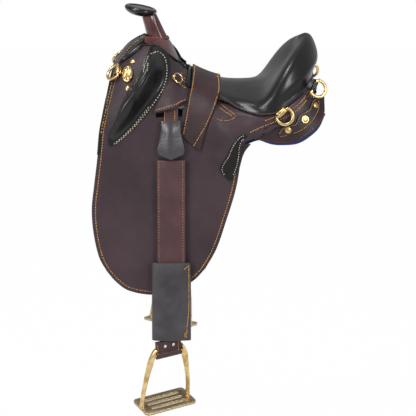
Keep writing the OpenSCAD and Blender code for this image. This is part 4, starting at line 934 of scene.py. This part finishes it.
brass = metal("polished_brass", (230, 202, 146), (196, 164, 108), rough=0.27, speckle=45, pitting=0.02, detail=1)
for node in ("front_dee_clips", "rear_dee_clips", "tie_staples", "tie_ring_left", "tie_ring_right"):
    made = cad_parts[node]
    dress(brass, node)
    made.modifiers.new("joined", "WELD").merge_threshold = same_spot
    if "clips" in node:
        soft = made.modifiers.new("edges", "BEVEL")
        soft.width, soft.segments = 0.0008, 2
        soft.limit_method, soft.angle_limit = "ANGLE", math.radians(35)
    smoothed(made, 35)
dee_half, dee_corner, bar_end, bar_start = 0.0185, 0.004, 0.29, 0.95


def dee_line(hinge, bar, bow, arm):
    flat_half = dee_half - dee_corner
    corner = [(flat_half + dee_corner * math.sin(a), dee_corner - dee_corner * math.cos(a))
              for a in (0.52, 1.05, 1.57)]
    line = [(flat_half * (k / 6 - 1), 0) for k in range(13)] + corner
    line += [(dee_half * math.cos(a), arm + dee_half * math.sin(a)) for a in (k * math.pi / 28 for k in range(29))]
    line += [(-x, y) for x, y in corner[::-1]]
    return [hinge + x * bar + y * bow for x, y in line]


def dee_section(t):
    return (0.0034, 0.0033) if t < bar_end or t > bar_start else (0.0037, 0.0031)


for kind, arm, hinge, bar, bow in (
        ("front", 0.0125, (-0.2067, -0.10336, 0.12815), (0, -0.7979, -0.6028), (-0.7911, 0.3687, -0.4881)),
        ("rear", 0.0095, (0.16757, -0.17467, 0.04288), (0.7428, 0.1901, 0.642), (0.6688, -0.1651, -0.7249)),
        ("high", 0.0110, (0.24367, -0.11849, 0.09311), (0.4777, 0.4301, 0.766), (0.811, 0.1194, -0.5728))):
    hinge, bar, bow = Vector(hinge), Vector(bar), Vector(bow)
    dee = swept(kind + "_dee_cast_left", dee_line(hinge, bar, bow, arm), dee_section, brass, 14, True, bar.cross(bow))
    both(dee, kind + "_dee_SIDE_body", "brass", kind + "_dee_")
chapes = taken_from("high_dee_chapes", "dee_tabs", black_hide)
finished(chapes, 0.0008, 40)
fixed(chapes, "black_leather", "high_dee_chapes")


def standing(x, z, lift):
    spot = at_side(x, z, lift)
    out = (at_side(x, z, lift + 0.001) - spot).normalized()
    down = (at_side(x, z - 0.002, lift) - spot).normalized()
    side = down.cross(out).normalized()
    return Matrix.Translation(spot) @ Matrix((side, out.cross(side), out)).transposed().to_4x4()


oval_wide, oval_long, oval_rise = 0.014, 0.021, 0.008
groove_deep, groove_half, groove_wave = 0.005, 0.2, 0.26
oval = started("uv_sphere", "oval_button_left", segments=96, ring_count=48, radius=1)
for v in oval.data.vertices:
    x, y, z = v.co
    groove = math.exp(-((x - groove_wave * math.sin(math.pi * y)) / groove_half) ** 2) * ease((0.95 - abs(y)) / 0.15)
    v.co = Vector((x * oval_wide, y * oval_long, max(-0.1, z) * oval_rise - groove_deep * groove * max(0, z)))
oval.data.transform(standing(-0.182, 0.1175, 0.0054))
coated(oval, brass)
smoothed(oval, 60)
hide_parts("oval_conchos")
both(oval, "saddle", "brass")
screw_turning = mm((6.5, -1), (6.6, 0.6), (6.2, 1.6), (5.4, 2.7), (4.2, 3.6), (2.6, 4.2), (0.8, 4.4))
stud_turning = mm((8.4, -1), (8.6, 0.6), (8.2, 1.5), (7.4, 1.7), (6.6, 1.5), (5.8, 1.7), (4.4, 2.2), (2.8, 2.5),
                  (1, 2.6))
for name, node, turning, lift, spots, sizes in (
        ("pommel_dome_%d_left", "pommel_screws", screw_turning, 0.0054, mm((-171.3, 142), (-182, 89.3)), (1, 1)),
        ("facing_stud_%d_left", "rear_conchos", stud_turning, 0.0026, mm((182, 2), (220.5, 23.5), (245, 50.5)),
         (0.9, 1.02, 0.8))):
    for k, (p, grow) in enumerate(zip(spots, sizes)):
        head = turned(name % (k + 1), [(r * grow, h) for r, h in turning], standing(*p, lift), 48, brass)
        smoothed(head, 50)
        if k == 0:
            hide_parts(node)
        both(head, "saddle", "brass")

# Stirrup strap: a narrow bar strap hangs from the bar through the slot into a buckle under a bell-shaped guard.
# The wide leather hangs below it in a black sleeve, and its riveted loop twists to hold the iron square to the foot.
strap_brown = leather("strap_leather", (89, 61, 64), (72, 49, 52), 0.42)
guard_grey = leather("guard_leather", (72, 70, 74), (54, 52, 56), 0.3, coat=0.2)
sleeve_black = leather("sleeve_leather", (80, 77, 80), (56, 54, 56), 0.4)
nickel = metal("nickel_plate", (232, 230, 226), (190, 187, 182), rough=0.18, speckle=140)
side_out = Vector((0, -math.cos(flap_lean), math.sin(flap_lean)))
dress(nickel, "buckles", "loop_rivets_left", "loop_rivets_right")


def finer(piece, cuts):
    with all_in_edit_mode(piece):
        bpy.ops.mesh.subdivide(number_cuts=cuts)


bar_strap = taken_from("bar_straps", "bar_strap_hides", strap_brown, edge_black)
rim_faces(bar_strap, 0.005)
guard = taken_from("buckle_guards", "guard_hides", guard_grey, edge_black)
rim_faces(guard, 0.004)
finer(guard, 7)
low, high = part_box("buckle_guards")
guard_mid, guard_crown, level_step, half_widths = (low[0] + high[0]) / 2, 0.011, 0.005, {}
ridge_firm, ridge_front, ridge_rear = 7, 0.45, 0.55
for v in guard.data.vertices:
    level = round(v.co.z / level_step)
    half_widths[level] = max(half_widths.get(level, 0), abs(v.co.x - guard_mid))
for v in guard.data.vertices:
    level = round(v.co.z / level_step)
    near = [half_widths[k] for k in range(level - 3, level + 4) if k in half_widths]
    across = min(1, max(0, 0.5 + (v.co.x - guard_mid) * len(near) / (2 * sum(near))))
    down = (high[2] - v.co.z) / (high[2] - low[2])
    slopes = math.exp(-ridge_firm * across / ridge_front) + math.exp(-ridge_firm * (1 - across) / ridge_rear)
    ridge = -math.log(slopes) / ridge_firm
    out = Vector((0, side_out.y if v.co.y < 0 else -side_out.y, side_out.z))
    v.co += out * guard_crown * max(0, ridge) * ease(0.35 + 2 * down) * ease(0.4 + 3 * (1 - down))
for made, slot, node in ((bar_strap, "strap_leather", "bar_straps"), (guard, "black_leather", "buckle_guards")):
    finished(made, 0.0011, 40)
    fixed(made, slot, node)
strap = taken_from("stirrup_leather_left", "stirrup_strap_left", strap_brown, edge_black)
rim_faces(strap, 0.009)
finished(strap, 0.0012, 40)
both(strap, "leather_SIDE_body", "strap_leather", "stirrup_leather_")
sleeve = taken_from("sleeve_left", "sleeve_hide_left", sleeve_black, edge_black)
rim_faces(sleeve, 0.003)
rounded(sleeve, 0.0012)
finer(sleeve, 5)
sleeve_front, sleeve_width, sleeve_skin, full_out, full_in = -0.127, 0.074, 0.0024, 0.007, 0.003
depths = [v.co.dot(side_out) for v in sleeve.data.vertices]
outmost, inmost = max(depths), min(depths)
for v, d in zip(sleeve.data.vertices, depths):
    bulge = math.sin(math.pi * max(0, min(1, (v.co.x - sleeve_front) / sleeve_width))) ** 0.8
    if d > outmost - sleeve_skin:
        v.co += side_out * full_out * bulge
    elif d < inmost + sleeve_skin:
        v.co -= side_out * full_in * bulge
smoothed(sleeve, 40)
both(sleeve, "sleeve_SIDE_body", "black_leather", "sleeve_")
loop = taken_from("loop_left", "loop_hide_left", strap_brown, edge_black)
loop_heart, loop_twist, loop_rise = Vector((-0.09201, -0.26828, -0.50319)), math.radians(-24), 0.012
loop_tall, loop_plain, twist_run, rise_run = 0.04, 0.66, 0.4, 0.34
finer(loop, 3)
for v in loop.data.vertices:
    h = (v.co.z - loop_heart.z) / loop_tall - loop_plain
    v.co = loop_heart + Matrix.Rotation(loop_twist * ease(h / twist_run), 3, "Z") @ (v.co - loop_heart)
    v.co.z += loop_rise * ease(h / rise_run)
smoothed(loop, 40)
for made, side, y in ((loop, "left", -0.268), (other_side(loop), "right", 0.268)):
    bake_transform(made, "leather_%s_body" % side, "loop_%s_body" % side, start=(-0.092, y, -0.458),
             end=(-0.092, y, -0.476))
    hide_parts("loop_" + side)


def upright(xs, *heights):
    return [mm(*[(x, z) for z in heights]) for x in xs]


strap_rows = upright((-111.8, -57.2), -62, -150, -250, -330)
both(sew("strap_seam_left", strap_rows, [strap], gold_thread, wide=0.0008, proud=-0.55), "leather_SIDE_body")
both(sew("bar_strap_seam_left", upright((-98.6, -75.6), 46, 30, 15, 0), [bar_strap], gold_thread))
sleeve_rows = [mm((-44, -297), (-44, -350), (-44.5, -400), (-48, -440), (-50, -462)),
               mm((-44, -298), (-50, -303), (-54, -306)), mm((-50, -452), (-56, -453)), mm((-50, -456), (-57, -457)),
               mm((-50, -460), (-57, -461))]
both(sew("sleeve_seam_left", sleeve_rows, [sleeve], gold_thread, pitch=0.0048, long=0.0042, wide=0.0012),
     "sleeve_SIDE_body")
loop_rows = upright((-115.5, -68.8), -476, -484, -492, -500)
both(sew("loop_seam_left", loop_rows, [loop], gold_thread), "loop_SIDE_body")

# Stirrup irons: cast brass, two arched branches on a rod at the top and a slotted tread at the foot.
# The branches are polished bright and the tread is left with its sandy casting skin, antiqued.
antique = metal("antique_brass", (226, 208, 172), (132, 112, 80), rough=0.4, speckle=320, pitting=0.4)
iron_turn = Matrix.Rotation(math.radians(32), 4, "Z") @ Matrix.Rotation(math.radians(8), 4, "X")
branch_line = [Vector((p.x, 0, p.y)) for p in mm((34, 17), (37.5, 11), (41, 2), (45.5, -14), (51, -38), (56.5, -68),
                                                 (60.5, -98), (62, -122), (62, -130))]
branch_half = ((0, 0.0026), (0.1, 0.006), (0.2, 0.0078), (0.36, 0.0068), (0.55, 0.0052), (0.75, 0.0044),
               (0.9, 0.0046), (1, 0.0062))
rod_line = [Vector((x / 1000, 0, 0)) for x in range(-40, 41, 8)]
slot_pitch, branch_deep, branch_flare = 0.0177, 0.0064, 0.0016


def branch_section(t):
    return eased(branch_half, t), branch_deep + branch_flare * ease((t - 0.85) / 0.15)


def plate(name, long, deep, low, high, corner):
    made = started("cube", name, size=1)
    for v in made.data.vertices:
        v.co = Vector((v.co.x * long, v.co.y * deep, low if v.co.z < 0 else high))
    with opened(made) as shape:
        posts = [e for e in shape.edges if abs(e.verts[0].co.z - e.verts[1].co.z) > (high - low) / 2]
        bmesh.ops.bevel(shape, geom=posts, offset=corner, segments=6, profile=0.5, affect="EDGES")
    return made


iron_parts = [swept("iron_rod", rod_line, (0.0049, 0.0049), brass, 18, up=Vector((0, 1, 0)))]
for s in (1, -1):
    line = [Vector((s * p.x, 0, p.z)) for p in evenly(branch_line, 36)]
    iron_parts.append(swept("iron_branch", line, branch_section, brass, 18, up=Vector((0, 1, 0))))
tread = plate("stirrup_iron_left", long=0.136, deep=0.07, low=-0.135, high=-0.128, corner=0.009)
for k in (-1, 0, 1):
    cutter = plate("tread_slot", long=0.0925, deep=0.008, low=-0.15, high=-0.11, corner=0.0039)
    cutter.data.transform(Matrix.Translation((0, slot_pitch * k, 0)))
    cut_out(tread, cutter)
tread.data.materials.clear()
coated(tread, antique)
finished(tread, 0.0013)
chosen(tread)
for part in iron_parts:
    part.select_set(True)
bpy.ops.object.join()
tread.data.transform(Matrix.Translation(loop_heart) @ iron_turn)
both(tread, "iron_SIDE_body", "antique_brass", "stirrup_")

# Studio: a pale floor well below the hanging saddle, a white surround and three large soft lamps.
# The camera stands at the left side, a little above the seat.
def rays_seen(tree, *kinds):
    path, seen = put(tree, "LightPath"), put(tree, "Math", operation="MAXIMUM")
    wire(tree, *[(path, kind, seen, k) for k, kind in enumerate(kinds)])
    return path, seen


floor = started("plane", "studio_floor", size=12, location=(0, 0, -0.9))
floor_pale, tree, shader = new_finish("pale_floor", 0.9, Base_Color=(0.92, 0.92, 0.92, 1))
glow = put(tree, "Emission", {"Strength": 1.0})
_, seen = rays_seen(tree, "Is Camera Ray", "Is Glossy Ray")
share = put(tree, "Math", {1: 0.985}, operation="MULTIPLY")
blend = put(tree, "MixShader")
wire(tree, (seen, 0, share, 0), (share, 0, blend, 0), (shader, "BSDF", blend, 1), (glow, 0, blend, 2),
     (blend, 0, tree.nodes["Material Output"], "Surface"))
coated(floor, floor_pale)

world = bpy.data.worlds.new("white_surround")
bpy.context.scene.world = world
world.use_nodes = True
tree = world.node_tree
back = tree.nodes["Background"]
back.inputs["Color"].default_value = (1, 1, 1, 1)
path, seen = rays_seen(tree, "Is Camera Ray", "Is Transmission Ray")
shone = put(tree, "MapRange", {"To Min": 0.34, "To Max": 0.42})
level = put(tree, "Math", operation="MAXIMUM")
wire(tree, (path, "Is Glossy Ray", shone, "Value"), (seen, 0, level, 0), (shone, 0, level, 1),
     (level, 0, back, "Strength"))

lit_spot = Vector((0, 0, -0.1))
for name, where, size, power in (("top_lamp", (-0.5, -0.5, 2.1), 0.7, 26), ("front_lamp", (-1.9, -1.9, 0.9), 0.8, 34),
                                 ("rear_lamp", (1.7, -1.9, 1.1), 0.7, 30)):
    lamp = bpy.data.lights.new(name, "AREA")
    lamp.shape, lamp.size, lamp.energy = "SQUARE", size, power
    made = placed(name, lamp)
    made.location = where
    made.rotation_euler = (lit_spot - Vector(where)).to_track_quat("-Z", "Y").to_euler()

eye = bpy.data.cameras.new("photo_camera")
eye.sensor_width, eye.lens = 36, 113.02
camera = placed("photo_camera", eye)
camera.location = (0, -3.060, 0.701)
camera.rotation_euler = (math.radians(73), 0, 0)
bpy.context.scene.camera = camera
bpy.context.scene.view_settings.view_transform = "Standard"
